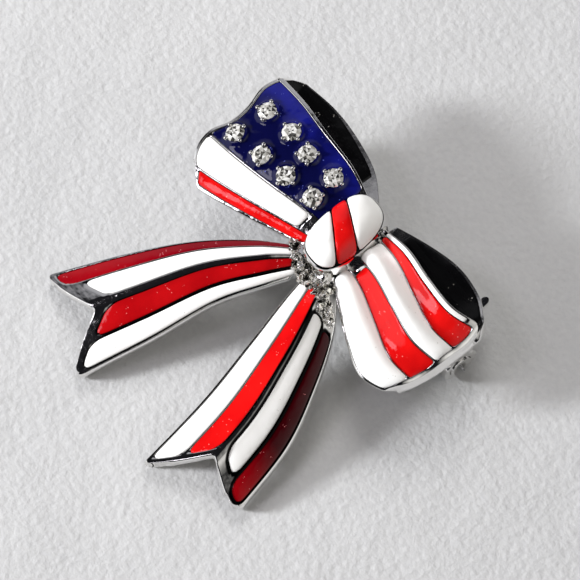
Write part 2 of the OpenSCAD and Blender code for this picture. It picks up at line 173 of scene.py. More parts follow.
def graded(length: float, first: float, most: float) -> Array:
    """Fractions from 0 to 1 whose steps start small at both ends and grow inwards.

    Args:
        length: the real length that 0 to 1 stands for.
        first: the first step, in the same unit.
        most: the longest step.

    Returns:
        The fractions, the same read from either end.
    """
    growth = 1.45
    steps, reach, step = [0.0], 0.0, first
    while reach + step < length / 2:
        reach += step
        steps.append(reach)
        step = min(step * growth, most)
    half = np.array(steps) * (length / 2) / (reach + step * 0.5)
    return np.concatenate([half, length - half[::-1]]) / length


def dome(x: Array) -> Array:
    """Round profile: 0 at x = 0, rising steeply, level from x = 1 on."""
    return np.sqrt(np.maximum(1 - (1 - np.clip(x, 0, 1)) ** 2, 0))


def ramp(x: Array, low: float, high: float) -> Array:
    """Smooth step from 0 at low to 1 at high."""
    k = np.clip((x - low) / (high - low), 0, 1)
    return k * k * (3 - 2 * k)


def put(name: str, data: bpy.types.ID) -> Thing:
    """A new object in the scene.

    Args:
        name: its name.
        data: its mesh, light or camera.

    Returns:
        The object.
    """
    thing = bpy.data.objects.new(name, data)
    bpy.context.scene.collection.objects.link(thing)
    return thing


def settle(thing: Thing, node: str, body: str = "bow") -> Thing:
    """Puts a piece on its body in place of a CAD node.

    Args:
        thing: the finished piece.
        node: the CAD node that it stands for.
        body: the body that it rides on.

    Returns:
        The same piece.
    """
    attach(thing, body)
    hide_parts(node)
    return thing


class Nodes:
    """Adds nodes to a node tree."""

    def __init__(self, tree: bpy.types.NodeTree) -> None:
        """Keeps the tree."""
        self.tree = tree

    def node(self, kind: str, inputs: Optional[dict] = None, **options: object) -> bpy.types.Node:
        """Adds a node.

        Args:
            kind: Blender's name for the node.
            inputs: a socket or a plain value for each input, by its name or number.
            options: the node's own settings, which come first.

        Returns:
            The node.
        """
        node = self.tree.nodes.new(kind)
        for name, value in options.items():
            setattr(node, name, value)
        self.feed(node, inputs or {})
        return node

    def feed(self, node: bpy.types.Node, inputs: dict) -> None:
        """Links sockets to a node's inputs, or sets the inputs' plain values.

        Args:
            node: the node.
            inputs: a socket or a plain value for each input.
        """
        for name, value in inputs.items():
            if isinstance(value, Socket):
                self.tree.links.new(value, node.inputs[name])
            else:
                node.inputs[name].default_value = value

    def colours(self, socket: Socket, marks: Marks) -> Socket:
        """Colours along a socket's range from 0 to 1.

        Args:
            socket: the number that picks the colour.
            marks: a position and a colour each, in order.

        Returns:
            The colour's socket.
        """
        node = self.node("ShaderNodeValToRGB", {"Fac": socket})
        elements = node.color_ramp.elements
        while len(elements) < len(marks):
            elements.new(0.5)
        for element, (place, colour) in zip(elements, marks):
            element.position, element.color = place, (*colour, 1)
        return node.outputs["Color"]


@dataclass(frozen=True)
class Relief:
    """One layer of a surface's relief: its noise, how strong it is and its height in metres."""

    scale: float
    detail: float
    strength: float
    height: float
    stretch: Axes = (1, 1, 1)


class Shader(Nodes):
    """Builds one node material on object coordinates."""

    def __init__(self, name: str) -> None:
        """Starts a material with its principled shader.

        Args:
            name: the material's name.
        """
        self.material = bpy.data.materials.new(name)
        self.material.use_nodes = True
        super().__init__(self.material.node_tree)
        self.tree.nodes.clear()
        self.base = self.node("ShaderNodeBsdfPrincipled")
        self.node("ShaderNodeOutputMaterial", {"Surface": self.base.outputs["BSDF"]})
        self.coords = self.node("ShaderNodeTexCoord").outputs["Object"]

    def set(self, inputs: dict) -> None:
        """Feeds the principled shader's inputs."""
        self.feed(self.base, inputs)

    def noise(self, scale: float, detail: float, stretch: Axes = (1, 1, 1)) -> Socket:
        """Noise over the surface.

        Args:
            scale: how many of its lumps fit in a metre.
            detail: how many finer layers it has.
            stretch: it is drawn out along the axes where this is below 1.

        Returns:
            The noise's socket.
        """
        mapping = self.node("ShaderNodeMapping", {"Vector": self.coords, "Scale": stretch})
        return self.node("ShaderNodeTexNoise", {"Vector": mapping.outputs["Vector"], "Scale": scale,
                                                "Detail": detail}).outputs["Fac"]

    def attribute(self, name: str) -> Socket:
        """A number stored on the mesh."""
        return self.node("ShaderNodeAttribute", attribute_name=name).outputs["Fac"]

    def specks(self, scale: float, amount: float) -> Socket:
        """Sparse small dots.

        Args:
            scale: how many fit in a metre.
            amount: how common they are.

        Returns:
            1 on a dot and 0 elsewhere.
        """
        patch, bare_below, full_above, outside, inside = 0.31, 0.62 - amount, 0.68 - amount, 0.26, 0.16
        cells = self.node("ShaderNodeTexVoronoi", {"Vector": self.coords, "Scale": scale})
        chosen = self.scale(self.noise(scale * patch, 2), 0.0, 1.0, bare_below, full_above)
        near = self.scale(cells.outputs["Distance"], 0.0, 1.0, outside, inside)
        return self.node("ShaderNodeMath", {0: chosen, 1: near}, operation="MULTIPLY").outputs["Value"]

    def scale(self, socket: Socket, low: float, high: float, from_low: float = 0.3,
              from_high: float = 0.7) -> Socket:
        """Maps a socket's range to another one and clamps it.

        Args:
            socket: the number.
            low: what the start of its range becomes.
            high: what the end of it becomes.
            from_low: where its range starts, by default where noise usually does.
            from_high: where it ends.

        Returns:
            The mapped number's socket.
        """
        return self.node("ShaderNodeMapRange", {
            "Value": socket, "From Min": from_low, "From Max": from_high, "To Min": low,
            "To Max": high}).outputs["Result"]

    def mix(self, factor: Socket, a: object, b: object, most: float = 1.0) -> Socket:
        """Mixes two colours by a factor's usual range.

        Args:
            factor: the socket that mixes.
            a: the first colour, or its socket.
            b: the second one.
            most: how much of the second one there is at most.

        Returns:
            The mixed colour's socket.
        """
        first, second = (c if isinstance(c, Socket) else (*c, 1.0) for c in (a, b))
        return self.node("ShaderNodeMix", {"Factor": self.scale(factor, 0.0, most), 6: first, 7: second},
                         data_type="RGBA").outputs[2]

    def bump(self, layers: Sequence[Relief], coat: bool = False) -> None:
        """Adds relief to the surface.

        Args:
            layers: the relief's layers, from the lowest.
            coat: whether the clear coat follows it too.
        """
        normal: dict = {}
        for layer in layers:
            node = self.node("ShaderNodeBump", {
                "Height": self.noise(layer.scale, layer.detail, layer.stretch),
                "Strength": layer.strength, "Distance": layer.height, **normal})
            normal = {"Normal": node.outputs["Normal"]}
        self.set(normal)
        if coat:
            self.set({"Coat Normal": normal["Normal"]})


@dataclass(frozen=True)
class Metal:
    """A metal finish.

    tone and gloss are noises, each a scale, a detail and perhaps a stretch. Its colour runs from low to
    high along tone, and its roughness over rough along gloss. pits is the colour of its pits; the next
    colour, where it has one, is the near black painted into the grooves round the cells as painted shade
    and dark reflection. pit_places are where along tone pits, low and high lie.
    """

    name: str
    tone: tuple
    low: Colour
    high: Colour
    gloss: tuple
    rough: Pair
    relief: tuple[Relief, ...]
    pits: Optional[Colour] = None
    painted_shade: Optional[Colour] = None
    pit_places: tuple[float, ...] = (0.37, 0.47, 0.62)
    slot: str = "plated_metal"

    def dress(self, sh: Shader) -> None:
        """Gives a material this finish.

        Args:
            sh: the material that is being built.
        """
        tone = sh.noise(*self.tone)
        if self.pits:
            body = sh.colours(tone, list(zip(self.pit_places, (self.pits, self.low, self.high))))
        else:
            body = sh.mix(tone, self.low, self.high)
        # Near black painted into the grooves round the cells: painted shade and dark reflection
        if self.painted_shade:
            body = sh.mix(sh.attribute("shade_paint"), body, self.painted_shade)
        sh.set({"Metallic": 1.0, "Base Color": body,
                "Roughness": sh.scale(sh.noise(*self.gloss), *self.rough)})
        sh.bump(self.relief)


@dataclass(frozen=True)
class Enamel:
    """Glossy enamel: colour that varies a little, dust specks and a clear wavy surface.

    low and high are the ends of its colour, dust the colour of the specks and amount how common they are.
    Its colour may turn to the deep colour between two places along the bow, in metres: on the red copies
    with painted shade this is more painted shade, darker towards the knot, and on the blue it grows darker
    towards the field's low side. wave is in metres too.
    """

    name: str
    slot: str
    low: Colour
    high: Colour
    dust: Colour
    amount: float
    deep: Optional[Colour] = None
    deep_span: Pair = (0.0, 0.0)
    wave: float = 0.00016

    def dress(self, sh: Shader) -> None:
        """Gives a material this finish.

        Args:
            sh: the material that is being built.
        """
        body = sh.mix(sh.noise(260, 3), self.low, self.high)
        # Darker towards one end along the bow: painted shade on the shaded red copies
        if self.deep:
            along = sh.node("ShaderNodeSeparateXYZ", {0: sh.coords}).outputs["Y"]
            body = sh.mix(sh.scale(along, 0.0, 1.0, *self.deep_span), body, self.deep)
        sh.set({"Base Color": sh.mix(sh.specks(4200, self.amount), body, self.dust), "Roughness": 0.5,
                "Specular IOR Level": 0.0, "Coat Weight": 0.85, "Coat Roughness": 0.03, "Coat IOR": 1.45})
        sh.bump([Relief(520, 2, 0.35, self.wave), Relief(4200, 2, 0.12, 0.00003)], coat=True)


@dataclass(frozen=True)
class Lacquer:
    """Black lacquer with dust and light scratches."""

    name: str
    slot: str

    def dress(self, sh: Shader) -> None:
        """Gives a material this finish.

        Args:
            sh: the material that is being built.
        """
        scratch = sh.noise(1500, 4, (0.1, 1, 1))
        sh.set({"Base Color": sh.mix(sh.specks(3600, 0.02), (0.003, 0.003, 0.0035), (0.30, 0.29, 0.27)),
                "Roughness": sh.scale(scratch, 0.16, 0.45), "Specular IOR Level": 0.12,
                "Coat Weight": 0.16, "Coat Roughness": 0.06})
        sh.bump([Relief(600, 3, 0.5, 0.00018)], coat=True)


@dataclass(frozen=True)
class CutGlass:
    """Foil-backed cut glass under a clear surface: each facet's colour, from black to white at random, is a
    painted reflection.
    """

    name: str
    slot: str
    # Painted reflections, from black to white, picked at random for each facet
    marks: Marks = ((0.0, (0.02, 0.02, 0.02)), (0.24, (0.10, 0.095, 0.085)), (0.30, (0.42, 0.41, 0.38)),
                    (0.62, (0.70, 0.68, 0.63)), (0.72, (1.0, 0.99, 0.96)))

    def dress(self, sh: Shader) -> None:
        """Gives a material this finish."""
        sh.set({"Base Color": sh.colours(sh.attribute("facet_glint"), self.marks), "Metallic": 0.35,
                "Roughness": 0.22, "Coat Weight": 1.0, "Coat Roughness": 0.0, "Coat IOR": 1.6})


@dataclass(frozen=True)
class Paper:
    """Pale paper with soft creases and a fine grain."""

    name: str

    def dress(self, sh: Shader) -> None:
        """Gives a material this finish.

        Args:
            sh: the material that is being built.
        """
        base = sh.mix(sh.noise(28, 4), (0.51, 0.512, 0.52), (0.565, 0.565, 0.57))
        sh.set({"Base Color": sh.mix(sh.noise(1800, 3), base, (0.62, 0.62, 0.615), 0.5),
                "Roughness": 0.75})
        sh.bump([Relief(60, 2, 0.22, 0.0024), Relief(300, 3, 0.25, 0.0004),
                 Relief(1300, 3, 0.65, 0.0002)])


class Finish(Enum):
    """The finishes of the brooch and of what it lies on."""

    # Bright plating: nearly a mirror, a little wavy, with faint hairlines, and near black painted into
    # the grooves round the cells as painted shade and dark reflection
    METAL = Metal("plated metal", (420, 3), (0.80, 0.79, 0.77), (0.90, 0.89, 0.875), (2600, 4), (0.03, 0.13),
                  (Relief(700, 2, 0.30, 0.00016), Relief(5200, 3, 0.10, 0.00003, (0.12, 1, 1))),
                  painted_shade=(0.006, 0.006, 0.006))
    # Plating over the casting's rough skin: dull, pitted and grainy
    CAST = Metal("rough cast metal", (1500, 3), (0.80, 0.77, 0.70), (0.98, 0.96, 0.92), (1800, 4),
                 (0.04, 0.26), (Relief(1500, 3, 0.9, 0.00022), Relief(5200, 3, 0.8, 0.00008)),
                 pits=(0.02, 0.018, 0.015))
    # Plating that was never polished, inside and behind the loops
    SATIN = Metal("dull plated metal", (700, 4), (0.66, 0.65, 0.63), (0.80, 0.79, 0.77), (1800, 4),
                  (0.16, 0.28), (Relief(900, 3, 0.25, 0.00012), Relief(4200, 3, 0.15, 0.00004)))
    # Drawn steel wire, with fine marks along it
    PIN = Metal("pin steel", (800, 3), (0.66, 0.66, 0.67), (0.80, 0.80, 0.81), (3000, 3, (0.06, 1, 1)),
                (0.12, 0.3), (Relief(6000, 3, 0.3, 0.00003, (0.05, 1, 1)),), slot="steel_pin")
    RED = Enamel("red enamel", "red_enamel", (0.52, 0.003, 0.004), (0.80, 0.008, 0.007),
                 (0.85, 0.22, 0.20), 0.03)
    # The red enamel again with painted half shade, for the left tail's inner red
    HALF_SHADED_RED = Enamel("half shaded red enamel", "red_enamel", (0.36, 0.002, 0.004), (0.47, 0.004, 0.006),
                    (0.70, 0.20, 0.20), 0.04)
    # The red enamel again with painted shade, deeper still towards the knot, for the left tail's outer red
    SHADED_RED = Enamel("shaded red enamel", "red_enamel", (0.24, 0.002, 0.006), (0.34, 0.004, 0.008),
                      (0.60, 0.20, 0.22), 0.03, (0.16, 0.001, 0.006), (-0.016, 0.004))
    # The red enamel again with painted deep shade, near black towards the knot, for the right tail's outer
    # red
    DEEP_SHADED_RED = Enamel("deep shaded red enamel", "red_enamel", (0.22, 0.001, 0.004), (0.30, 0.002, 0.005),
                    (0.55, 0.16, 0.16), 0.03, (0.035, 0.0005, 0.002), (-0.0165, -0.004))
    WHITE = Enamel("white enamel", "white_enamel", (0.89, 0.88, 0.855), (0.95, 0.945, 0.93),
                   (0.58, 0.56, 0.53), 0.015)
    BLUE = Enamel("blue enamel", "blue_enamel", (0.0025, 0.003, 0.05), (0.007, 0.009, 0.17),
                  (0.08, 0.10, 0.40), 0.02, (0.0022, 0.0026, 0.034), (0.0145, 0.0095), 0.0004)
    BLACK = Lacquer("black lining", "black_lining")
    # Stone crowns whose facets carry painted reflections
    CRYSTAL = CutGlass("stone crown", "crystal")
    PAPER = Paper("paper")


@cache
def material(kind: Finish) -> bpy.types.Material:
    """The material of a finish, made when it is first asked for.

    Args:
        kind: the finish.

    Returns:
        The material.
    """
    shader = Shader(kind.value.name)
    kind.value.dress(shader)
    return shader.material


class Body:
    """Gathers closed surfaces in mm and makes one Blender mesh object of them."""

    def __init__(self, name: str) -> None:
        """Starts an empty body.

        Args:
            name: the name of the object that it will make.
        """
        self.name = name
        self.points: list[Array] = []
        self.faces: list[tuple[int, ...]] = []
        self.slots: list[int] = []
        # How much painted shade each point takes, in the grooves round the cells
        self.shade_paint: list[Array] = []
        self.count = 0

    def add(self, points: Array, faces: Sequence[Sequence[int]], slot: int = 0) -> int:
        """Adds points and the faces between them.

        Args:
            points: places in mm, measured from the knot's centre.
            faces: corner numbers that count from this call's first point.
            slot: which of the body's materials the faces take.

        Returns:
            The number of the first point added.
        """
        first = self.count
        self.points.append(np.asarray(points, float).reshape(-1, 3))
        self.shade_paint.append(np.zeros(len(self.points[-1])))
        self.count += len(self.points[-1])
        self.extend(first, faces, slot)
        return first

    def extend(self, first: int, faces: Sequence[Sequence[int]], slot: int) -> None:
        """Adds more faces between points that are already there."""
        self.faces += [tuple(int(i) + first for i in face) for face in faces]
        self.slots += [slot] * len(faces)

    def shell(self, top: Array, low: Array, bulge: float = 0.0, rings: int = 0, low_slot: int = 0,
              dark: Optional[Array] = None) -> None:
        """Adds the closed surface between two grids, with a rounded rim.

        Args:
            top: grid of points, rows by columns by 3.
            low: the grid on the other side, of the same shape.
            bulge: how far the rim swells outwards.
            rings: rows of points round the rim.
            low_slot: material of the low side.
            dark: how much painted shade each point of the top takes, from 0 to 1.
        """
        rows, cols = top.shape[:2]
        n = rows * cols
        ids = np.arange(n).reshape(rows, cols)
        edge = np.concatenate([ids[0, :], ids[1:, -1], ids[-1, -2::-1], ids[-2:0:-1, 0]])
        inner_row = np.clip(edge // cols, 1, rows - 2)
        inner_col = np.clip(edge % cols, 1, cols - 2)
        flat_top, flat_low = top.reshape(-1, 3), low.reshape(-1, 3)
        down = flat_low[edge] - flat_top[edge]
        out = flat_top[edge] - flat_top[inner_row * cols + inner_col]
        along = np.sum(out * down, -1) / np.maximum(np.sum(down * down, -1), 1e-12)
        out = unit(out - down * along[:, None])
        loops, points = [edge], [flat_top, flat_low]
        for k in range(1, rings + 1):
            turn = math.pi * k / (rings + 1)
            points.append(flat_top[edge] + down * (1 - math.cos(turn)) / 2 + out * bulge * math.sin(turn))
            loops.append(np.arange(len(edge)) + 2 * n + (k - 1) * len(edge))
        loops.append(edge + n)
        quads = np.stack([ids[:-1, :-1], ids[:-1, 1:], ids[1:, 1:], ids[1:, :-1]], -1).reshape(-1, 4)
        first = self.add(np.concatenate(points), quads)
        if dark is not None:
            self.shade_paint[-1][:n] = dark.ravel()
        self.extend(first, quads[:, ::-1] + n, low_slot)
        for a, b in zip(loops[:-1], loops[1:]):
            self.extend(first, np.stack([np.roll(a, -1), a, b, np.roll(b, -1)], -1), 0)

    def pillow(self, rings: Sequence[Array], crown: Array, base: Array) -> None:
        """Adds a closed surface of rings of points, from its base point up to its crown point.

        Args:
            rings: the rings, from the lowest.
            crown: the point that closes the last ring.
            base: the point that closes the first one.
        """
        n, last = len(rings[0]), (len(rings) - 1) * len(rings[0])
        faces: list[Sequence[int]] = []
        for low in range(0, last, n):
            for i in range(n):
                j = (i + 1) % n
                faces.append((low + i, low + j, low + n + j, low + n + i))
        for i in range(n):
            j = (i + 1) % n
            faces += [(last + i, last + j, last + n), (j, i, last + n + 1)]
        self.add(np.concatenate([*rings, [crown], [base]]), faces)

    def build(self, *kinds: Finish, smooth: bool = True) -> Thing:
        """Makes the object, with every surface facing outwards.

        Args:
            kinds: the finish of each of the body's slots.
            smooth: whether its faces are shaded smooth.

        Returns:
            The new object, linked to the scene.
        """
        mesh = bpy.data.meshes.new(self.name)
        points = (np.concatenate(self.points) + TO_MIDDLE) * MM
        mesh.from_pydata(points.tolist(), [], self.faces)
        for kind in kinds:
            mesh.materials.append(material(kind))
        mesh.polygons.foreach_set("material_index", self.slots)
        mesh.polygons.foreach_set("use_smooth", [smooth] * len(self.slots))
        dark = np.concatenate(self.shade_paint)
        # The painted shade goes to the metal's material as a point attribute
        if dark.any():
            mesh.attributes.new("shade_paint", "FLOAT", "POINT").data.foreach_set("value", dark)
        work = bmesh.new()
        work.from_mesh(mesh)
        bmesh.ops.recalc_face_normals(work, faces=work.faces)
        work.to_mesh(mesh)
        work.free()
        return put(self.name, mesh)


@dataclass(frozen=True)
class Line:
    """A metal line along a ribbon.

    knot and far are its places across at both ends, width is in mm, strip is how much further its metal
    reaches on its high side, as a part of the ribbon's width, and bow is how far its middle bends up.
    """

    knot: float
    far: float
    width: float = 0.2
    strip: float = 0.0
    bow: float = 0.0

    def place(self, s: Array) -> Array:
        """Its place across at s."""
        part = s / ROWS
        return self.knot + (self.far - self.knot) * part + 4 * self.bow * part * (1 - part)


@dataclass(frozen=True)
class Cell:
    """An enamel cell between two of a ribbon's lines.

    start and end count rows, corner is the radius of its corners in mm, fill is the enamel's height at its
    edge and crown how much higher its middle is, soft is the width over which it rises, and step is about
    how long the steps of its grid are.
    """

    name: str
    finish: Finish
    start: float
    end: float
    corner: float
    fill: float
    crown: float
    soft: float = 0.9
    step: float = 0.25


@dataclass(kw_only=True)
class Ribbon:
    """One ribbon of the bow, over s in rows from the knot and t from its low to its high edge.

    table holds both edges, edge_inset is how far its outer lines stand in from them, far_corners the
    radii of its low and high far corners, rim_bulge and rim_rings shape its rim, and reverse is the
    finish of its other side. line_h and shoulder shape its metal lines; groove and high_groove are how
    wide the painted shade beside them is on the low and the high half, near black in the groove round
    every cell as painted shade and dark reflection. A line has line_columns columns of points and a cell
    about one every cell_column. Enamel starts at root above the face and reaches tuck under the lines.
    fine_step is the shortest step along and rim_step the longest beyond the cells, and a corner takes at
    most round_most of a cell's width. All lengths are in mm.
    """

    name: str
    table: Array
    lines: list[Line]
    cells: list[Cell]
    far_corners: Pair
    edge_inset: float
    rim_bulge: float
    rim_rings: int
    reverse: Finish
    wall: float = 0.9
    line_h: float = 0.30
    shoulder: float = 0.10
    groove: float = 0.10
    high_groove: float = 0.10
    line_columns: int = 7
    cell_column: float = 0.32
    root: float = 0.03
    tuck: float = 0.035
    fine_step: float = 0.03
    rim_step: float = 0.12
    round_most: float = 0.45

    def face(self, s: Array, t: Array) -> Array:
        """Points of the face."""
        raise NotImplementedError

    def surfaces(self) -> tuple[Array, Array, Array]:
        """The metal's outer grid, its other side and how much painted shade the outer one takes."""
        raise NotImplementedError

    def width(self, s: Array) -> Array:
        """The ribbon's width in mm at s."""
        row = curve_at(self.table, s)
        return np.linalg.norm(row[..., 3:] - row[..., :3], axis=-1)

    def row_length(self) -> float:
        """Length in mm of one row, halfway along."""
        pair = self.face(np.array([1.5, 2.5]), np.array([0.5, 0.5]))
        return float(np.linalg.norm(pair[1] - pair[0]))

    def last_row(self) -> float:
        """Where the ribbon's face ends, counting rows."""
        return float(ROWS)

    def last_cell(self) -> float:
        """Where the longest cell ends, counting rows."""
        return max(cell.end for cell in self.cells)

    def rows_along(self, lead: int, first_step: float, step: float) -> Array:
        """Places along for the metal, crowded where the cells start and end.

        Args:
            lead: how many places there are before the cells start.
            first_step: the smallest step beside the cells' ends, in mm.
            step: the longest step between them.

        Returns:
            The places, counting rows.
        """
        row, end = self.row_length(), self.last_row()
        first, last = min(cell.start for cell in self.cells), self.last_cell()
        return np.concatenate([
            np.linspace(0, first, lead)[:-1],
            first + (last - first) * graded((last - first) * row, first_step, step),
            last + (end - last) * graded((end - last) * row, self.fine_step, self.rim_step)[1:]])

    def edges(self, s: Array) -> Array:
        """Places across where metal and cells meet.

        Args:
            s: places along.

        Returns:
            Two places for every cell, from low to high, at each s.
        """
        found = []
        width = self.width(s)
        for low, high in zip(self.lines[:-1], self.lines[1:]):
            found.append(low.place(s) + low.width / 2 / width + low.strip)
            found.append(high.place(s) - high.width / 2 / width)
        return np.stack(found, -1)

    def columns(self, s: Array) -> tuple[Array, Array]:
        """Places across for every s, crowded where metal and cells meet.

        Args:
            s: places along.

        Returns:
            The places, one row for each s, and the same without the rounding of the far corners.
        """
        width = self.width(s)[:, None]
        whole = np.concatenate([self.edge_inset / width, self.edges(s), 1 - self.edge_inset / width], 1)
        from_end = ((self.last_row() - s) * self.row_length())[:, None]
        cuts = [corner * (1 - dome(from_end / corner)) / width for corner in self.far_corners]
        rounded = np.clip(whole, whole[:, :1] + cuts[0], whole[:, -1:] - cuts[1])
        gaps = np.diff(whole, axis=1).mean(0) * float(width.mean())
        counts = [self.line_columns if k % 2 == 0 else max(6, int(gap / self.cell_column))
                  for k, gap in enumerate(gaps)]

        def filled(ends: Array) -> Array:
            """All places between the given ends."""
            parts = [ends[:, :1]]
            for k, n in enumerate(counts):
                parts.append(ends[:, k:k + 1] + (ends[:, k + 1:k + 2] - ends[:, k:k + 1]) * spread(n)[1:])
            return np.hstack(parts)

        return filled(rounded), filled(whole)

    def from_cells(self, s: Array, t: Array) -> Array:
        """Distance from the nearest cell's rounded outline.

        Args:
            s: places along.
            t: places across.

        Returns:
            The distance in mm, below 0 inside a cell.
        """
        far_off = 9.0
        width = self.width(s)
        row = self.row_length()
        edges = self.edges(s)
        nearest = np.full(np.broadcast(s, t).shape, far_off)
        for i, cell in enumerate(self.cells):
            low, high = edges[..., 2 * i], edges[..., 2 * i + 1]
            r = np.minimum(cell.corner, self.round_most * (high - low) * width)
            qx = np.maximum(low - t, t - high) * width + r
            qy = np.maximum(cell.start - s, s - cell.end) * row + r
            outside = np.hypot(np.maximum(qx, 0), np.maximum(qy, 0))
            nearest = np.minimum(nearest, outside + np.minimum(np.maximum(qx, qy), 0) - r)
        return nearest

    def metal_height(self, s: Array, t: Array) -> Array:
        """Height of the metal above the face: 0 in the cells, a rounded line between them."""
        return self.line_h * dome(self.from_cells(s, t) / self.shoulder)

    def painted_shade(self, s: Array, t: Array) -> Array:
        """Painted shade and dark reflection on the metal: black in the groove round every cell,
        none from a little way off.
        """
        groove = self.groove + (self.high_groove - self.groove) * ramp(t, 0.46, 0.54)
        return 1 - ramp(self.from_cells(s, t) / groove, 0.3, 1.0)

    def cell_grid(self, index: int) -> tuple[Array, Array, Array]:
        """A cell's own grid of places, with its corners rounded.

        Args:
            index: which cell.

        Returns:
            s and t of the grid's points, and how high each stands, from 0 at the rim to 1 in the middle.
        """
        cell = self.cells[index]
        row = self.row_length()
        start, end = cell.start - self.tuck / row, cell.end + self.tuck / row
        s = start + (end - start) * graded((end - start) * row, self.fine_step, cell.step)
        width = self.width(s)
        edges = self.edges(s)
        low = edges[:, 2 * index] - self.tuck / width
        high = edges[:, 2 * index + 1] + self.tuck / width
        real = (high - low) * width
        from_end = np.minimum(s - start, end - s) * row
        r = np.minimum(cell.corner, self.round_most * real)
        inset = r * (1 - dome(from_end / r))
        low, high = low + inset / width, high - inset / width
        mean, fewest = float(real.mean()), 8
        wide = int(mean / cell.step) > fewest
        u = graded(mean, self.fine_step, cell.step) if wide else spread(fewest)
        t = low[:, None] + (high - low)[:, None] * u
        from_side = np.minimum(u, 1 - u) * (real - 2 * inset)[:, None]
        soft = np.minimum(cell.soft, 0.5 * real)[:, None]
        rise = dome(from_side / soft) * dome(from_end[:, None] / soft)
        return np.broadcast_to(s[:, None], t.shape), t, rise

    def lift(self, cell: Cell, face: Array, rise: Array) -> Array:
        """Height of a cell's enamel above the given points of the face."""
        return cell.fill + cell.crown * rise

    def build(self) -> list[Thing]:
        """Makes the ribbon's metal and its cells."""
        return [self.metal()] + [self.enamel(index) for index in range(len(self.cells))]

    def metal(self) -> Thing:
        """The cast ribbon in one closed body.

        Returns:
            The piece.
        """
        outer, other, dark = self.surfaces()
        body = Body(f"{self.name}_metal")
        body.shell(outer, other, self.rim_bulge, self.rim_rings, 1, dark)
        return settle(body.build(Finish.METAL, self.reverse), "casting")

    def enamel(self, index: int) -> Thing:
        """One enamel cell, domed between its lines.

        Args:
            index: which cell.

        Returns:
            The piece.
        """
        cell = self.cells[index]
        s, t, rise = self.cell_grid(index)
        face = self.face(s, t)
        node = f"{self.name}_{cell.name}"
        body = Body(f"{node}_enamel")
        body.shell(face + self.lift(cell, face, rise)[..., None] * UP, face + self.root * UP)
        return settle(body.build(cell.finish), node)


@dataclass
class Strip:
    """A loop's wall from the knot over its front and its far turn to its back.

    base is the outer grid without its metal lines and outer the same with them; front_rows is how many
    rows the front has, places holds the places across of every row, and dark says how much painted shade
    it takes.
    """

    base: Array
    outer: Array
    inner: Array
    front_rows: int
    places: Array
    dark: Array


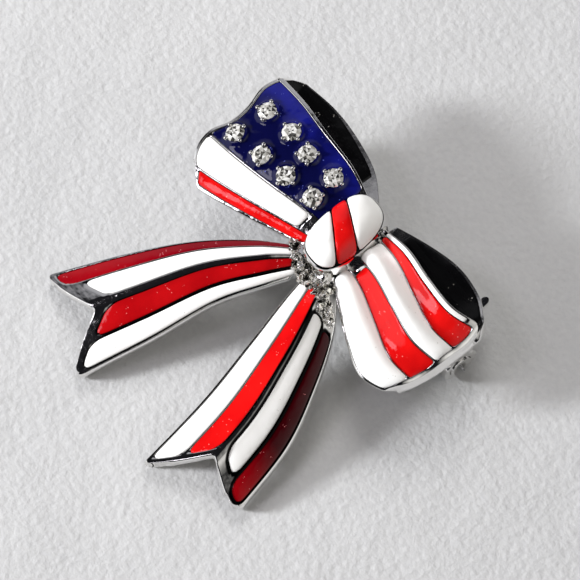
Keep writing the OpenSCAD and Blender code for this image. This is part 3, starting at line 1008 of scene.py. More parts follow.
@dataclass(kw_only=True)
class Loop(Ribbon):
    """A loop of the bow: its front, the turn at its far end, its back and its black lining.

    side is -1 for the left loop and 1 for the right one, back and swell are its tables, and pleat is how
    deep its pleats are. The front rolls over by roll_r from the row roll_from on, and pull is how far the
    turn swings out. The lining covers lining_t across, stops at lining_stop and draws in by lining_taper.
    """

    side: int
    back: Array
    swell: Array
    pleat: float
    lining_stop: float
    lining_t: Pair
    lining_taper: float = 0.0
    lining_h: float = 0.3
    lining_skip: int = 5
    roll_from: float = 4.0
    roll_r: float = 0.0
    pull: float = 3.6
    turn_rows: int = 18
    back_rows: int = 30
    edge_inset: float = 0.12
    rim_bulge: float = 0.12
    rim_rings: int = 5
    reverse: Finish = Finish.SATIN

    def face(self, s: Array, t: Array) -> Array:
        """Points of the front, which bends down towards its low edge.

        Args:
            s: places along.
            t: places across.

        Returns:
            The points in mm.
        """
        s, t = np.broadcast_arrays(np.asarray(s, float), np.asarray(t, float))
        row = curve_at(self.table, s)
        flat = between(row, t)
        out = curve_at(self.swell, np.clip(t, 0, 1) * (len(self.swell) - 1)) * np.clip(s / ROWS, 0, 1) ** 3
        z = row[..., 2] + (row[..., 5] - row[..., 2]) * (1 - (1 - t) * (1 - t))
        first_crest, crest_step, roll_part = 0.1475, 0.435, 0.75
        depth = self.pleat * np.interp(s, [0, 1.0, 2.4, 4.0], [0.5, 1.0, 1.0, 0.55])
        z = z + depth * np.cos(2 * np.pi * (t - first_crest) / crest_step)
        rolled = roll_part * np.clip((s - self.roll_from) / max(ROWS - self.roll_from, 1e-6), 0, 1)
        z = z - self.roll_r * (1 - np.sqrt(1 - rolled ** 2))
        return np.stack([flat[..., 0] + self.side * out, flat[..., 1], z], -1)

    def under(self, s: Array, t: Array) -> Array:
        """Points of the back's outer side."""
        s, t = np.broadcast_arrays(np.asarray(s, float), np.asarray(t, float))
        return between(curve_at(self.back, s), t)

    def strip(self) -> Strip:
        """The loop as one strip.

        Returns:
            The strip's grids.
        """
        s = self.rows_along(lead=5, first_step=0.03, step=0.3)
        last = self.last_cell()
        fade_from, faded, before_end = last + 0.6 * (ROWS - last), 0.999, 3.97
        t, whole = self.columns(s)
        grid_s = np.broadcast_to(s[:, None], t.shape)
        front = self.face(grid_s, t)
        lift = self.metal_height(grid_s, t) * (1 - faded * ramp(grid_s, fade_from, ROWS))
        far, full = t[-1], whole[-1]

        def heading(surface: Callable[[Array, Array], Array], places: Array) -> Array:
            """The direction in which a surface leaves at its far end."""
            return unit(surface(np.array(ROWS), places) - surface(np.array(before_end), places))

        leave, enter = heading(self.face, far), heading(self.under, full)
        start, stop = front[-1], self.under(np.array(ROWS), full)
        part = np.linspace(0, 1, self.turn_rows + 1)[1:, None]
        k = part[..., None]
        turn = ((2 * k ** 3 - 3 * k ** 2 + 1) * start + (k ** 3 - 2 * k ** 2 + k) * self.pull * leave
                + (3 * k ** 2 - 2 * k ** 3) * stop - (k ** 3 - k ** 2) * self.pull * enter)
        back_s = np.linspace(ROWS, 0, self.back_rows)[1:]
        base = np.concatenate([front, turn, self.under(back_s[:, None], full[None, :])])
        normal = unit(np.cross(np.gradient(base, axis=0), np.gradient(base, axis=1)))
        if normal[3, len(far) // 2, 2] < 0:
            normal = -normal
        all_s = np.concatenate([s, np.full(len(turn), float(ROWS)), back_s])
        all_t = np.concatenate([t, far + (full - far) * part,
                                np.broadcast_to(full, (len(back_s), len(full)))])
        grid_all = np.broadcast_to(all_s[:, None], all_t.shape)
        gap = self.face(grid_all, all_t)[..., 2] - self.under(grid_all, all_t)[..., 2]
        gap_part, least_gap, at_edge, full_from = 0.42, 0.2, 0.4, 0.13
        thick = (np.minimum(self.wall, gap_part * np.maximum(gap, least_gap))
                 * (at_edge + (1 - at_edge) * ramp(all_t, 0.0, full_from)))
        outer = base.copy()
        outer[:len(s), :, 2] += lift
        # Painted shade and dark reflection in the grooves round the front's cells
        dark = np.zeros(all_t.shape)
        dark[:len(s)] = self.painted_shade(grid_s, t)
        return Strip(base, outer, base - normal * thick[..., None], len(s), all_t, dark)

    def surfaces(self) -> tuple[Array, Array, Array]:
        """The outer and the inner side of the loop's wall, and how much painted shade the outer one takes."""
        strip = self.strip()
        return strip.outer, strip.inner, strip.dark

    def build(self) -> list[Thing]:
        """Makes the loop's metal, its cells and its lining."""
        return super().build() + [self.lining()]

    def lining(self) -> Thing:
        """The black enamel inside the loop, from partway round the turn to near the knot.

        Returns:
            The piece.
        """
        strip = self.strip()
        first = strip.front_rows + self.lining_skip
        turn = self.turn_rows - self.lining_skip
        stop, back_end, taper_from, columns = 1 + ROWS - self.lining_stop, 3.99, 1.2, 36
        along = np.concatenate([np.linspace(0, 1, turn, endpoint=False),
                                1 + np.linspace(0, back_end, len(strip.base) - first - turn)])
        along = along[along <= stop]
        u = np.linspace(0, 1, columns)
        low_t, high_t = self.lining_t
        rows, inward = [], []
        for k, reach in enumerate(along, first):
            high = high_t - self.lining_taper * float(ramp(np.array(reach), taper_from, stop))
            index = np.interp(low_t + (high - low_t) * u, strip.places[k], np.arange(strip.places.shape[1]))
            low = np.floor(index).astype(int).clip(0, strip.places.shape[1] - 2)
            part = (index - low)[:, None]
            for line, found in ((strip.inner[k], rows), (unit(strip.inner[k] - strip.base[k]), inward)):
                found.append(line[low] * (1 - part) + line[low + 1] * part)
        metal, into = np.array(rows), unit(np.array(inward))
        row_mm, width_mm, soft = 3.4, 9.0, 0.8
        end = np.minimum(along - along[0], along[-1] - along)[:, None] * row_mm
        side = np.minimum(u, 1 - u) * (high_t - low_t) * width_mm
        rise = self.lining_h * (0.7 + 0.3 * dome(end / soft) * dome(side / soft))
        body = Body(f"{self.name}_black")
        body.shell(metal + into * rise[..., None], metal - into * 0.02, bulge=0.10, rings=4)
        return settle(body.build(Finish.BLACK), f"{self.name}_lining")


@dataclass(kw_only=True)
class StarLoop(Loop):
    """The left loop, whose blue enamel climbs a little at each stone's setting.

    cup_r is a setting's outer radius, climb how high the enamel climbs there and climb_reach how far off.
    """

    cup_r: float = 1.12
    climb: float = 0.24
    climb_reach: float = 0.17

    def lift(self, cell: Cell, face: Array, rise: Array) -> Array:
        """Height of a cell's enamel, with a meniscus round every setting on the blue field.

        Args:
            cell: the cell.
            face: points of the face.
            rise: how high each point stands in its cell, from 0 to 1.

        Returns:
            The height above the face at each point, in mm.
        """
        height = super().lift(cell, face, rise)
        if cell.finish is Finish.BLUE:
            for s, t in STONES:
                gap = np.linalg.norm(face - self.face(np.array(s), np.array(t)), axis=-1) - self.cup_r
                height = height + self.climb * np.exp(-np.maximum(gap, 0) / self.climb_reach)
        return height


@dataclass(kw_only=True)
class Tail(Ribbon):
    """A tail of the bow, folded along its middle and cut back to a notch.

    fold is the place across of its fold, ridge_h how high the fold is, and notch how much of the tail's
    length the notch takes.
    """

    fold: float
    ridge_h: float = 1.0
    notch: float = 0.125
    edge_inset: float = 0.26
    rim_bulge: float = 0.26
    rim_rings: int = 7
    reverse: Finish = Finish.CAST

    def ridge(self, t: Array) -> Array:
        """The fold's profile: it rises to the middle line, drops steeply past it and then eases out."""
        places = [0, self.fold - 0.03, self.fold + 0.01, self.fold + 0.06, self.fold + 0.095, 1]
        return np.interp(t, places, [0, 0.95, 0.97, 0.86, 0.70, 0])

    def face(self, s: Array, t: Array) -> Array:
        """Points of the tail's face.

        Args:
            s: places along.
            t: places across.

        Returns:
            The points in mm.
        """
        s, t = np.broadcast_arrays(np.asarray(s, float), np.asarray(t, float))
        reach = 1 - self.notch * (1 - np.sqrt((2 * t - 1) ** 2 + 0.0012))
        lift = self.ridge_h * np.clip(s, 0, 1) * self.ridge(t)
        return between(curve_at(self.table, s * reach), t) + lift[..., None] * UP

    def last_row(self) -> float:
        """Where the tail's face ends, just short of its rounded rim."""
        return ROWS - self.edge_inset / self.row_length()

    def surfaces(self) -> tuple[Array, Array, Array]:
        """The tail's metal.

        Returns:
            Its top with the lines on it, its underside, and how much painted shade the top takes.
        """
        s = self.rows_along(lead=6, first_step=0.04, step=0.32)
        t, _ = self.columns(s)
        grid_s = np.broadcast_to(s[:, None], t.shape)
        base = self.face(grid_s, t)
        top = base + self.metal_height(grid_s, t)[..., None] * UP
        # The top takes painted shade in the grooves round its cells
        return top, base - (self.wall - 0.02) * UP, self.painted_shade(grid_s, t)


@dataclass(frozen=True)
class KnotCell:
    """A puffed enamel cell of the knot between two slanting lines, each a height and a slope."""

    name: str
    finish: Finish
    low: Pair
    high: Pair
    crown: float
    centre: Pair


@dataclass(frozen=True)
class Knot:
    """The domed oval knot and its cells.

    half_w and half_l are half its width and length, base, rim and top are heights, x and y its middle,
    lean its slant, and square_x and square_y how square its outline is; shoulder and ease shape its dome.
    Its first unshaded_rings rings are bare metal; the rest, between and under the cells, take painted
    shade. Cells keep cell_gap between them and stop at cell_edge of the outline; their edge stands at
    cell_h over the metal. All lengths are in mm.
    """

    cells: Sequence[KnotCell]
    half_w: float = 2.65
    half_l: float = 4.4
    rim: float = 7.8
    top: float = 9.25
    base: float = 4.4
    x: float = -0.4
    y: float = 0.35
    lean: float = 0.09
    square_x: float = 0.72
    square_y: float = 0.82
    sides: int = 96
    unshaded_rings: int = 8
    cell_gap: float = 0.15
    cell_h: float = 0.10
    shoulder: float = 2.6
    ease: float = 0.62
    cell_sides: int = 112
    cell_edge: float = 0.935

    def plan(self, rho: float) -> Array:
        """The knot's outline, scaled.

        Args:
            rho: how much of its size it has.

        Returns:
            x and y of its points.
        """
        a = np.linspace(0, 2 * np.pi, self.sides, endpoint=False)
        c, d = np.cos(a), np.sin(a)
        x = self.half_w * rho * np.sign(c) * np.abs(c) ** self.square_x
        y = self.half_l * rho * np.sign(d) * np.abs(d) ** self.square_y
        return np.stack([x - self.lean * y + self.x, y + self.y], -1)

    def rho(self, x: Array, y: Array) -> Array:
        """How far out points lie, found by halving.

        Args:
            x: their places across the bow.
            y: their places along it.

        Returns:
            0 in the middle and 1 on the outline.
        """
        low, high = np.zeros_like(x), np.full_like(x, 2.0)
        v = y - self.y
        u = x - self.x + self.lean * v
        for _ in range(HALVINGS):
            mid = (low + high) / 2
            f = (np.abs(u) / (self.half_w * mid)) ** (2 / self.square_x) \
                + (np.abs(v) / (self.half_l * mid)) ** (2 / self.square_y)
            low, high = np.where(f > 1, mid, low), np.where(f > 1, high, mid)
        return (low + high) / 2

    def height(self, rho: Array) -> Array:
        """Height of the knot's metal at rho."""
        fall = np.maximum(1 - np.clip(rho, 0, 1) ** self.shoulder, 0) ** self.ease
        return self.rim + (self.top - self.rim) * fall

    def outside(self, cell: KnotCell, x: Array, y: Array) -> Array:
        """Above 0 outside a cell's outline; its corners are rounded.

        Args:
            cell: the cell.
            x: the points' places across the bow.
            y: their places along it.

        Returns:
            A soft distance at each point.
        """
        half_gap, soft, mm_per_rho = self.cell_gap / 2, 0.16, 2.6
        parts = np.stack([(self.rho(x, y) - self.cell_edge) * mm_per_rho,
                          cell.low[0] + cell.low[1] * x + half_gap - y,
                          y - cell.high[0] - cell.high[1] * x + half_gap])
        return soft * np.log(np.sum(np.exp(parts / soft), 0))

    def build(self) -> list[Thing]:
        """Makes the knot's metal and its cells."""
        return [self.metal()] + [self.pebble(cell) for cell in self.cells]

    def metal(self) -> Thing:
        """The knot's casting, which flares towards its high side and has painted shade between its cells.

        Returns:
            The piece.
        """
        angle = np.linspace(0, 2 * np.pi, self.sides, endpoint=False)
        high_side = 0.5 + 0.5 * np.sin(angle)[:, None]
        rings = []
        for r, flare, z in ((0.90, 0.0, self.base), (0.97, 0.08, self.base + 0.5),
                            (1.0, 0.12, self.base + 1.2), (1.0, 0.10, 6.6), (1.0, 0.045, 7.4)):
            outline = self.plan(r) * (1 - high_side) + self.plan(r + flare) * high_side
            rings.append(np.column_stack([outline, np.full(self.sides, z)]))
        for r in (1.0, 0.99, 0.97, 0.95, 0.925, 0.89, 0.83, 0.75, 0.65, 0.53, 0.4, 0.27, 0.13):
            rings.append(np.column_stack([self.plan(r), np.full(self.sides, float(self.height(r)))]))
        body = Body("knot_metal")
        body.pillow(rings, np.array([self.x, self.y, self.top]), np.array([self.x, self.y, self.base]))
        # The inner rings, seen between the cells, are painted near black as shade and dark reflection
        body.shade_paint[-1][self.unshaded_rings * self.sides:] = 1.0
        return settle(body.build(Finish.METAL), "casting")

    def pebble(self, cell: KnotCell) -> Thing:
        """One cell, puffed like a pebble.

        Args:
            cell: the cell.

        Returns:
            The piece.
        """
        farthest, smooth_waves, sunk, depth = 5.5, 4, 0.05, 0.4
        a = np.linspace(0, 2 * np.pi, self.cell_sides, endpoint=False)
        cx, cy = cell.centre
        low, high = np.zeros_like(a), np.full_like(a, farthest)
        for _ in range(HALVINGS):
            mid = (low + high) / 2
            out = self.outside(cell, cx + mid * np.cos(a), cy + mid * np.sin(a)) > 0
            low, high = np.where(out, low, mid), np.where(out, mid, high)
        reach = (low + high) / 2
        waves = np.fft.rfft(reach)
        waves[smooth_waves:] = 0
        round_reach = np.fft.irfft(waves, len(reach))
        rings = []
        for k in (1.0, 0.985, 0.96, 0.925, 0.88, 0.82, 0.74, 0.64, 0.52, 0.39, 0.26, 0.13):
            r = k * (round_reach + (reach - round_reach) * k ** 2)
            x, y = cx + r * np.cos(a), cy + r * np.sin(a)
            z = self.height(self.rho(x, y)) + self.cell_h + cell.crown * (1 - k ** 3.0) ** 0.55
            rings.append(np.column_stack([x, y, z]))
        skirt = rings[0].copy()
        skirt[:, 2] = self.height(self.rho(skirt[:, 0], skirt[:, 1])) - sunk
        middle = float(self.height(self.rho(np.array(cx), np.array(cy))))
        crown = np.array([cx, cy, middle + self.cell_h + cell.crown])
        node = f"knot_{cell.name}"
        body = Body(f"{node}_enamel")
        body.pillow([skirt, *rings], crown, crown - [0, 0, cell.crown + depth])
        return settle(body.build(cell.finish), node)


class Tree(Nodes):
    """Builds one Geometry Nodes tree with named size inputs on an object of bare points or edges."""

    def __init__(self, name: str, points: Array, edges: Sequence[tuple[int, int]] = ()) -> None:
        """Starts a tree and the object it works on.

        Args:
            name: the tree's name.
            points: the object's points in mm, measured from the knot's centre.
            edges: the edges between them.
        """
        super().__init__(bpy.data.node_groups.new(name, "GeometryNodeTree"))
        for way in ("INPUT", "OUTPUT"):
            self.tree.interface.new_socket("Geometry", in_out=way, socket_type="NodeSocketGeometry")
        self.source = self.node("NodeGroupInput")
        self.sizes: dict[str, float] = {}
        self.mesh = bpy.data.meshes.new(name)
        self.mesh.from_pydata(((points + TO_MIDDLE) * MM).tolist(), edges, [])

    def size(self, name: str, value: float) -> Socket:
        """Adds a named size input.

        Args:
            name: the input's name.
            value: its value in mm.

        Returns:
            Its socket.
        """
        self.tree.interface.new_socket(name, in_out="INPUT", socket_type="NodeSocketFloat")
        self.sizes[name] = value * MM
        return self.source.outputs[name]

    def out(self, kind: str, inputs: Optional[dict] = None, **options: object) -> Socket:
        """Adds a node and returns its first output."""
        return self.node(kind, inputs, **options).outputs[0]

    def math(self, operation: str, a: object, b: object) -> Socket:
        """The result of a sum on two values."""
        return self.out("ShaderNodeMath", {0: a, 1: b}, operation=operation)

    def vector(self, x: object, y: object, z: object) -> Socket:
        """A vector of three values."""
        return self.out("ShaderNodeCombineXYZ", {"X": x, "Y": y, "Z": z})

    def join(self, *parts: Socket) -> Socket:
        """Joins several geometries.

        Args:
            parts: the geometries.

        Returns:
            The joined one.
        """
        node = self.node("GeometryNodeJoinGeometry")
        for part in reversed(parts):
            self.feed(node, {"Geometry": part})
        return node.outputs["Geometry"]

    def chance(self, low: tuple, high: tuple, seed: int) -> Socket:
        """A random vector between two others, for every point."""
        return self.out("FunctionNodeRandomValue", {0: low, 1: high, "Seed": seed},
                        data_type="FLOAT_VECTOR")

    def bake(self, geometry: Socket, kind: Finish, name: str) -> Thing:
        """Ends the tree with real geometry, runs it and keeps the result as a plain mesh.

        Args:
            geometry: what the tree makes.
            kind: its finish.
            name: the name of the new object.

        Returns:
            The new object, with the tree's geometry and no modifier.
        """
        real = self.out("GeometryNodeRealizeInstances", {"Geometry": geometry})
        smooth = self.out("GeometryNodeSetShadeSmooth", {"Geometry": real})
        done = self.out("GeometryNodeSetMaterial", {"Geometry": smooth, "Material": material(kind)})
        self.node("NodeGroupOutput", {"Geometry": done})
        host = put(self.mesh.name, self.mesh)
        modifier = host.modifiers.new(name, "NODES")
        modifier.node_group = self.tree
        for item in self.tree.interface.items_tree:
            if item.in_out == "INPUT" and item.name in self.sizes:
                modifier[item.identifier] = self.sizes[item.name]
        depsgraph = bpy.context.evaluated_depsgraph_get()
        mesh = bpy.data.meshes.new_from_object(host.evaluated_get(depsgraph), depsgraph=depsgraph)
        mesh.name = name
        bpy.data.objects.remove(host)
        return put(name, mesh)


@dataclass(frozen=True)
class Jewels:
    """The round stones and their pronged settings on the left loop's face; all sizes are in mm."""

    loop: Loop
    stone_r: float = 1.0
    girdle_h: float = 0.40
    collar_r: float = 1.04
    collar_wall: float = 0.14
    bead_r: float = 0.22
    prongs: int = 4
    seed: int = 31

    def frame_of(self, s: float, t: float) -> tuple[Array, Array]:
        """A stone's place on the face and the face's direction there.

        Args:
            s: the stone's place along the loop.
            t: its place across.

        Returns:
            The point and the upward normal.
        """
        step = 0.05
        at = self.loop.face(np.array([s, s, s, s + step, s - step]), np.array([t, t + step, t - step, t, t]))
        normal = unit(np.cross(at[1] - at[2], at[3] - at[4]))
        return at[0], normal if normal[2] > 0 else -normal

    def build(self) -> list[Thing]:
        """Makes the settings and the stones."""
        frames = [self.frame_of(s, t) for s, t in STONES]
        return [self.settings(frames)] + [self.stone(i, *frame) for i, frame in enumerate(frames)]

    def settings(self, frames: Sequence[tuple[Array, Array]]) -> Thing:
        """Collars with bead prongs, repeated at every stone by Geometry Nodes.

        Args:
            frames: each stone's place and normal.

        Returns:
            The piece.
        """
        tree = Tree("pronged settings", np.array([place for place, _ in frames]))
        facing = tree.mesh.attributes.new("facing", "FLOAT_VECTOR", "POINT")
        facing.data.foreach_set("vector", np.array([normal for _, normal in frames]).ravel())
        tree.mesh.attributes.new("turned", "FLOAT", "POINT").data.foreach_set("value", PRONG_TURNS)
        collar_r = tree.size("Collar radius", self.collar_r)
        collar_h = tree.size("Collar height", self.girdle_h - 0.02)
        wall = tree.size("Collar wall", self.collar_wall)
        bead_r = tree.size("Bead radius", self.bead_r)
        bead_h = tree.size("Bead height", self.girdle_h + 0.17)

        circle = "GeometryNodeCurvePrimitiveCircle"
        half_wall = tree.math("MULTIPLY", wall, 0.5)
        tall = tree.out("GeometryNodeTransform", {
            "Geometry": tree.out(circle, {"Radius": 1.0, "Resolution": 12}),
            "Scale": tree.vector(half_wall, collar_h, 1.0)})
        collar = tree.out("GeometryNodeCurveToMesh", {
            "Curve": tree.out(circle, {"Radius": collar_r, "Resolution": 48}), "Profile Curve": tall})
        bead = tree.out("GeometryNodeTransform", {
            "Geometry": tree.out("GeometryNodeMeshUVSphere", {"Segments": 16, "Rings": 10, "Radius": bead_r}),
            "Translation": tree.vector(0.0, 0.0, bead_h), "Scale": (1.0, 1.0, 0.8)})
        stalk = tree.out("GeometryNodeMeshCone", {
            "Vertices": 12, "Radius Top": tree.math("MULTIPLY", bead_r, 0.8), "Radius Bottom": bead_r,
            "Depth": bead_h})
        inward = tree.math("MULTIPLY", bead_r, 0.1)
        around = tree.out("GeometryNodeMeshCircle", {
            "Vertices": self.prongs, "Radius": tree.math("SUBTRACT", collar_r, inward)})
        prongs = tree.out("GeometryNodeInstanceOnPoints", {
            "Points": around, "Instance": tree.join(bead, stalk)})

        stored = "GeometryNodeInputNamedAttribute"
        upright = tree.out("FunctionNodeAlignRotationToVector", {
            "Vector": tree.out(stored, {"Name": "facing"}, data_type="FLOAT_VECTOR")}, axis="Z")
        spin = tree.math("MULTIPLY", tree.out(stored, {"Name": "turned"}, data_type="FLOAT"), math.pi / 2)
        twist = tree.out("FunctionNodeEulerToRotation", {"Euler": tree.vector(0.0, 0.0, spin)})
        turned = tree.out("FunctionNodeRotateRotation", {"Rotation": upright, "Rotate By": twist},
                          rotation_space="LOCAL")
        placed = tree.out("GeometryNodeInstanceOnPoints", {
            "Points": tree.source.outputs["Geometry"], "Instance": tree.join(collar, prongs),
            "Rotation": turned})
        return settle(tree.bake(placed, Finish.METAL, "stone_settings"), "casting")

    def stone(self, index: int, place: Array, normal: Array) -> Thing:
        """One round cut stone: a crown of facets over a pointed pavilion.

        Args:
            index: which stone.
            place: its place on the face.
            normal: the face's direction there.

        Returns:
            The piece.
        """
        side = unit(np.cross(normal, [0.3, 1.0, 0.1]))
        fore = np.cross(normal, side)
        twist, eighth = index * 0.61, math.pi / 8

        def ring(r: float, z: float, n: int, turn: float) -> Array:
            """A ring of points round the stone's axis.

            Args:
                r: its radius as a part of the stone's.
                z: its height over the girdle.
                n: how many points it has.
                turn: how far it is turned.

            Returns:
                The points.
            """
            a = np.linspace(0, 2 * np.pi, n, endpoint=False) + turn + twist
            return (place + normal * (self.girdle_h + z)
                    + self.stone_r * r * (np.cos(a)[:, None] * side + np.sin(a)[:, None] * fore))

        points = np.concatenate([
            ring(0.27, 0.31, 8, eighth), ring(0.57, 0.33, 8, 0), ring(0.80, 0.215, 8, eighth),
            ring(0.985, 0.03, 16, eighth / 2), ring(0.985, -0.03, 16, eighth / 2),
            [place + normal * (self.girdle_h - 0.6), place + normal * (self.girdle_h + 0.30)]])
        table, mid, girdle, low, culet, top = 8, 16, 24, 40, 56, 57
        faces: list[Sequence[int]] = []
        for i in range(8):
            j = (i + 1) % 8
            before, after, last = girdle + (2 * i - 1) % 16, girdle + 2 * i, girdle + (2 * i + 1) % 16
            faces += [(top, i, j), (i, table + j, j), (i, table + i, table + j),
                      (table + i, mid + i, table + j), (table + i, before, after),
                      (table + i, after, mid + i), (mid + i, after, last), (mid + i, last, table + j)]
        for i in range(16):
            j = (i + 1) % 16
            faces += [(girdle + i, low + i, low + j, girdle + j), (low + i, culet, low + j)]
        body = Body(f"cut_stone_{index + 1}")
        body.add(points, faces)
        thing = body.build(Finish.CRYSTAL, smooth=False)
        # Each facet gets a random painted reflection brightness for the crystal material
        chance = np.random.default_rng(self.seed + index)
        facet_glint = thing.data.attributes.new("facet_glint", "FLOAT", "FACE")
        facet_glint.data.foreach_set("value", chance.random(len(thing.data.polygons)))
        return settle(thing, f"stone_{index + 1}")


@dataclass(frozen=True)
class Roots:
    """Rough cast metal where the tails and loops meet under the knot, a crust of uneven grains.

    Grains of grain_r stand every spacing along the webs, thrown by up to scatter and roughened by rough.
    """

    grain_r: float = 0.30
    spacing: float = 0.085
    scatter: float = 0.32
    rough: float = 0.46
    seed: int = 7
    webs: tuple = (
        ((-3.5, -3.5, 6.1), (-2.8, -3.6, 6.3), (-1.6, -4.3, 6.4), (0.0, -4.7, 6.3), (1.6, -4.3, 6.3),
         (2.9, -3.6, 6.2)),
        ((-3.0, -3.9, 6.1), (-1.3, -4.8, 6.3), (0.4, -5.2, 6.1), (1.4, -4.9, 6.2), (2.6, -4.2, 6.2)),
        ((1.3, -4.9, 6.5), (2.6, -5.2, 6.6), (3.8, -5.6, 6.4), (4.5, -6.1, 6.1)),
        ((2.0, -4.4, 6.4), (3.3, -4.7, 6.4), (4.5, -5.2, 6.1), (5.3, -5.9, 5.7)))

    def build(self) -> list[Thing]:
        """Makes the crust: grains scattered along the webs by Geometry Nodes.

        Returns:
            Its one piece.
        """
        starts = np.cumsum([0] + [len(web) for web in self.webs])
        edges = [(int(first) + k, int(first) + k + 1)
                 for first, web in zip(starts, self.webs) for k in range(len(web) - 1)]
        tree = Tree("cast crust", np.concatenate(self.webs), edges)
        spacing = tree.size("Grain spacing", self.spacing)
        radius = tree.size("Grain radius", self.grain_r)
        jitter = tree.size("Scatter", self.scatter)
        rough = tree.size("Roughness", self.rough)

        curve = tree.out("GeometryNodeMeshToCurve", {"Mesh": tree.source.outputs["Geometry"]})
        points = tree.out("GeometryNodeCurveToPoints", {"Curve": curve, "Length": spacing}, mode="LENGTH")
        throw = tree.out("ShaderNodeVectorMath", {
            "Vector": tree.chance((-1, -1, -0.8), (1, 1, 0.8), self.seed), "Scale": jitter},
            operation="SCALE")
        moved = tree.out("GeometryNodeSetPosition", {"Geometry": points, "Offset": throw})
        crust = tree.out("GeometryNodeInstanceOnPoints", {
            "Points": moved,
            "Instance": tree.out("GeometryNodeMeshIcoSphere", {"Radius": radius, "Subdivisions": 3}),
            "Rotation": tree.chance((0, 0, 0), (6.28, 6.28, 6.28), self.seed + 1),
            "Scale": tree.chance((0.35, 0.35, 0.35), (1.4, 1.4, 1.0), self.seed + 2)})
        real = tree.out("GeometryNodeRealizeInstances", {"Geometry": crust})
        lumps = tree.node("ShaderNodeTexNoise", {"Scale": 2600.0, "Detail": 2.0}).outputs["Color"]
        centred = tree.out("ShaderNodeVectorMath", {0: lumps, 1: (0.5, 0.5, 0.5)}, operation="SUBTRACT")
        push = tree.out("ShaderNodeVectorMath", {"Vector": centred, "Scale": rough}, operation="SCALE")
        worn = tree.out("GeometryNodeSetPosition", {"Geometry": real, "Offset": push})
        return [settle(tree.bake(worn, Finish.CAST, "root_metal"), "casting")]


@dataclass(frozen=True)
class PinWork:
    """The bar, hinge, stem and catch on the back, taken from the frame's own solids with broken edges.

    edge is how wide the broken edges are, in mm, and fine_edge the same on the stem; lever is how long
    the part of the catch's lever is that draws in, by slim of its width and by shorten in mm. Corners
    closer than merge, in metres, become one, and so do faces within flat degrees of each other. Edges
    over sharp degrees are broken, and those over crease are shaded sharp.
    """

    frame: dict
    edge: float = 0.07
    fine_edge: float = 0.028
    lever: float = 2.6
    slim: float = 0.45
    shorten: float = 0.4
    rivet_sides: int = 32
    merge: float = 2e-6
    flat: float = 1.0
    sharp: float = 30.0
    crease: float = 32.0

    def build(self) -> list[Thing]:
        """Makes the four fittings.

        Returns:
            The pieces.
        """
        return [self.fitting("pin_bar", "bow", Finish.METAL), self.rivet(),
                self.fitting("pin_stem", "stem", Finish.PIN),
                self.fitting("catch_roller", "catch", Finish.METAL)]

    def fitting(self, node: str, body: str, kind: Finish) -> Thing:
        """One fitting with its sharp edges broken.

        Args:
            node: the CAD node that it is made from and stands for.
            body: the body that it rides on.
            kind: its finish.

        Returns:
            The piece.
        """
        work, limit = bmesh.new(), math.radians(self.sharp)
        work.from_mesh(self.frame["nodes"][node].data)
        bmesh.ops.remove_doubles(work, verts=work.verts, dist=self.merge)
        bmesh.ops.dissolve_limit(work, angle_limit=math.radians(self.flat), verts=work.verts,
                                 edges=work.edges)
        sharp = [edge for edge in work.edges if edge.is_manifold and edge.calc_face_angle(0.0) > limit]
        width = (self.fine_edge if node == "pin_stem" else self.edge) * MM
        bmesh.ops.bevel(work, geom=sharp, offset=width, segments=2, profile=0.6, affect="EDGES",
                        clamp_overlap=True)
        if node == "catch_roller":
            self.slim_lever(work)
        return self.finish(work, f"{node}_worn", node, body, kind)

    def slim_lever(self, work: bmesh.types.BMesh) -> None:
        """Draws the catch's lever in towards its tip.

        Args:
            work: the catch's mesh.
        """
        tip, tip_zone = max(vert.co.y for vert in work.verts), 0.3 * MM
        middle = fmean(vert.co.x for vert in work.verts if vert.co.y > tip - tip_zone)
        for vert in work.verts:
            part = min(max((vert.co.y - tip + self.lever * MM) / (self.lever * MM), 0.0), 1.0)
            if part > 0:
                vert.co.x = middle + (vert.co.x - middle) * (1 - self.slim * part)
                vert.co.y -= self.shorten * MM * part * part

    def rivet(self) -> Thing:
        """The hinge rivet with a low domed head at both ends.

        Returns:
            The piece.
        """
        low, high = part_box("hinge_rivet")
        x, z = (low.x + high.x) / 2, (low.z + high.z) / 2
        r = (high.x - low.x) / 2
        # How far beyond the rivet's end each ring of a head stands, and its radius over the shank's
        head = [(0.16 * MM, 0.25), (0.12 * MM, 1.1), (0.05 * MM, 1.55), (0.0, 1.7), (0.0, 1.0)]
        section = [(low.y - out, scale) for out, scale in head]
        section += [(high.y + out, scale) for out, scale in reversed(head)]
        work = bmesh.new()
        rings = []
        for y, scale in section:
            rings.append([work.verts.new((x + r * scale * math.cos(a), y, z + r * scale * math.sin(a)))
                          for a in (math.tau * k / self.rivet_sides for k in range(self.rivet_sides))])
        for ring, after in zip(rings[:-1], rings[1:]):
            for k in range(self.rivet_sides):
                j = (k + 1) % self.rivet_sides
                work.faces.new((ring[k], ring[j], after[j], after[k]))
        work.faces.new(rings[0])
        work.faces.new(rings[-1])
        return self.finish(work, "hinge_rivet_domed", "hinge_rivet", "bow", Finish.METAL)

    def finish(self, work: bmesh.types.BMesh, name: str, node: str, body: str, kind: Finish) -> Thing:
        """Turns an edited mesh into a piece that stands for a node.

        Args:
            work: the edited mesh, which is freed.
            name: the piece's name.
            node: the CAD node that it stands for.
            body: the body that it rides on.
            kind: its finish.

        Returns:
            The piece.
        """
        bmesh.ops.recalc_face_normals(work, faces=work.faces)
        bmesh.ops.triangulate(work, faces=[f for f in work.faces if len(f.verts) > 4])
        mesh = bpy.data.meshes.new(name)
        work.to_mesh(mesh)
        work.free()
        mesh.materials.clear()
        mesh.materials.append(material(kind))
        mesh.polygons.foreach_set("material_index", [0] * len(mesh.polygons))
        mesh.polygons.foreach_set("use_smooth", [True] * len(mesh.polygons))
        mesh.set_sharp_from_angle(angle=math.radians(self.crease))
        return settle(put(name, mesh), node, body)


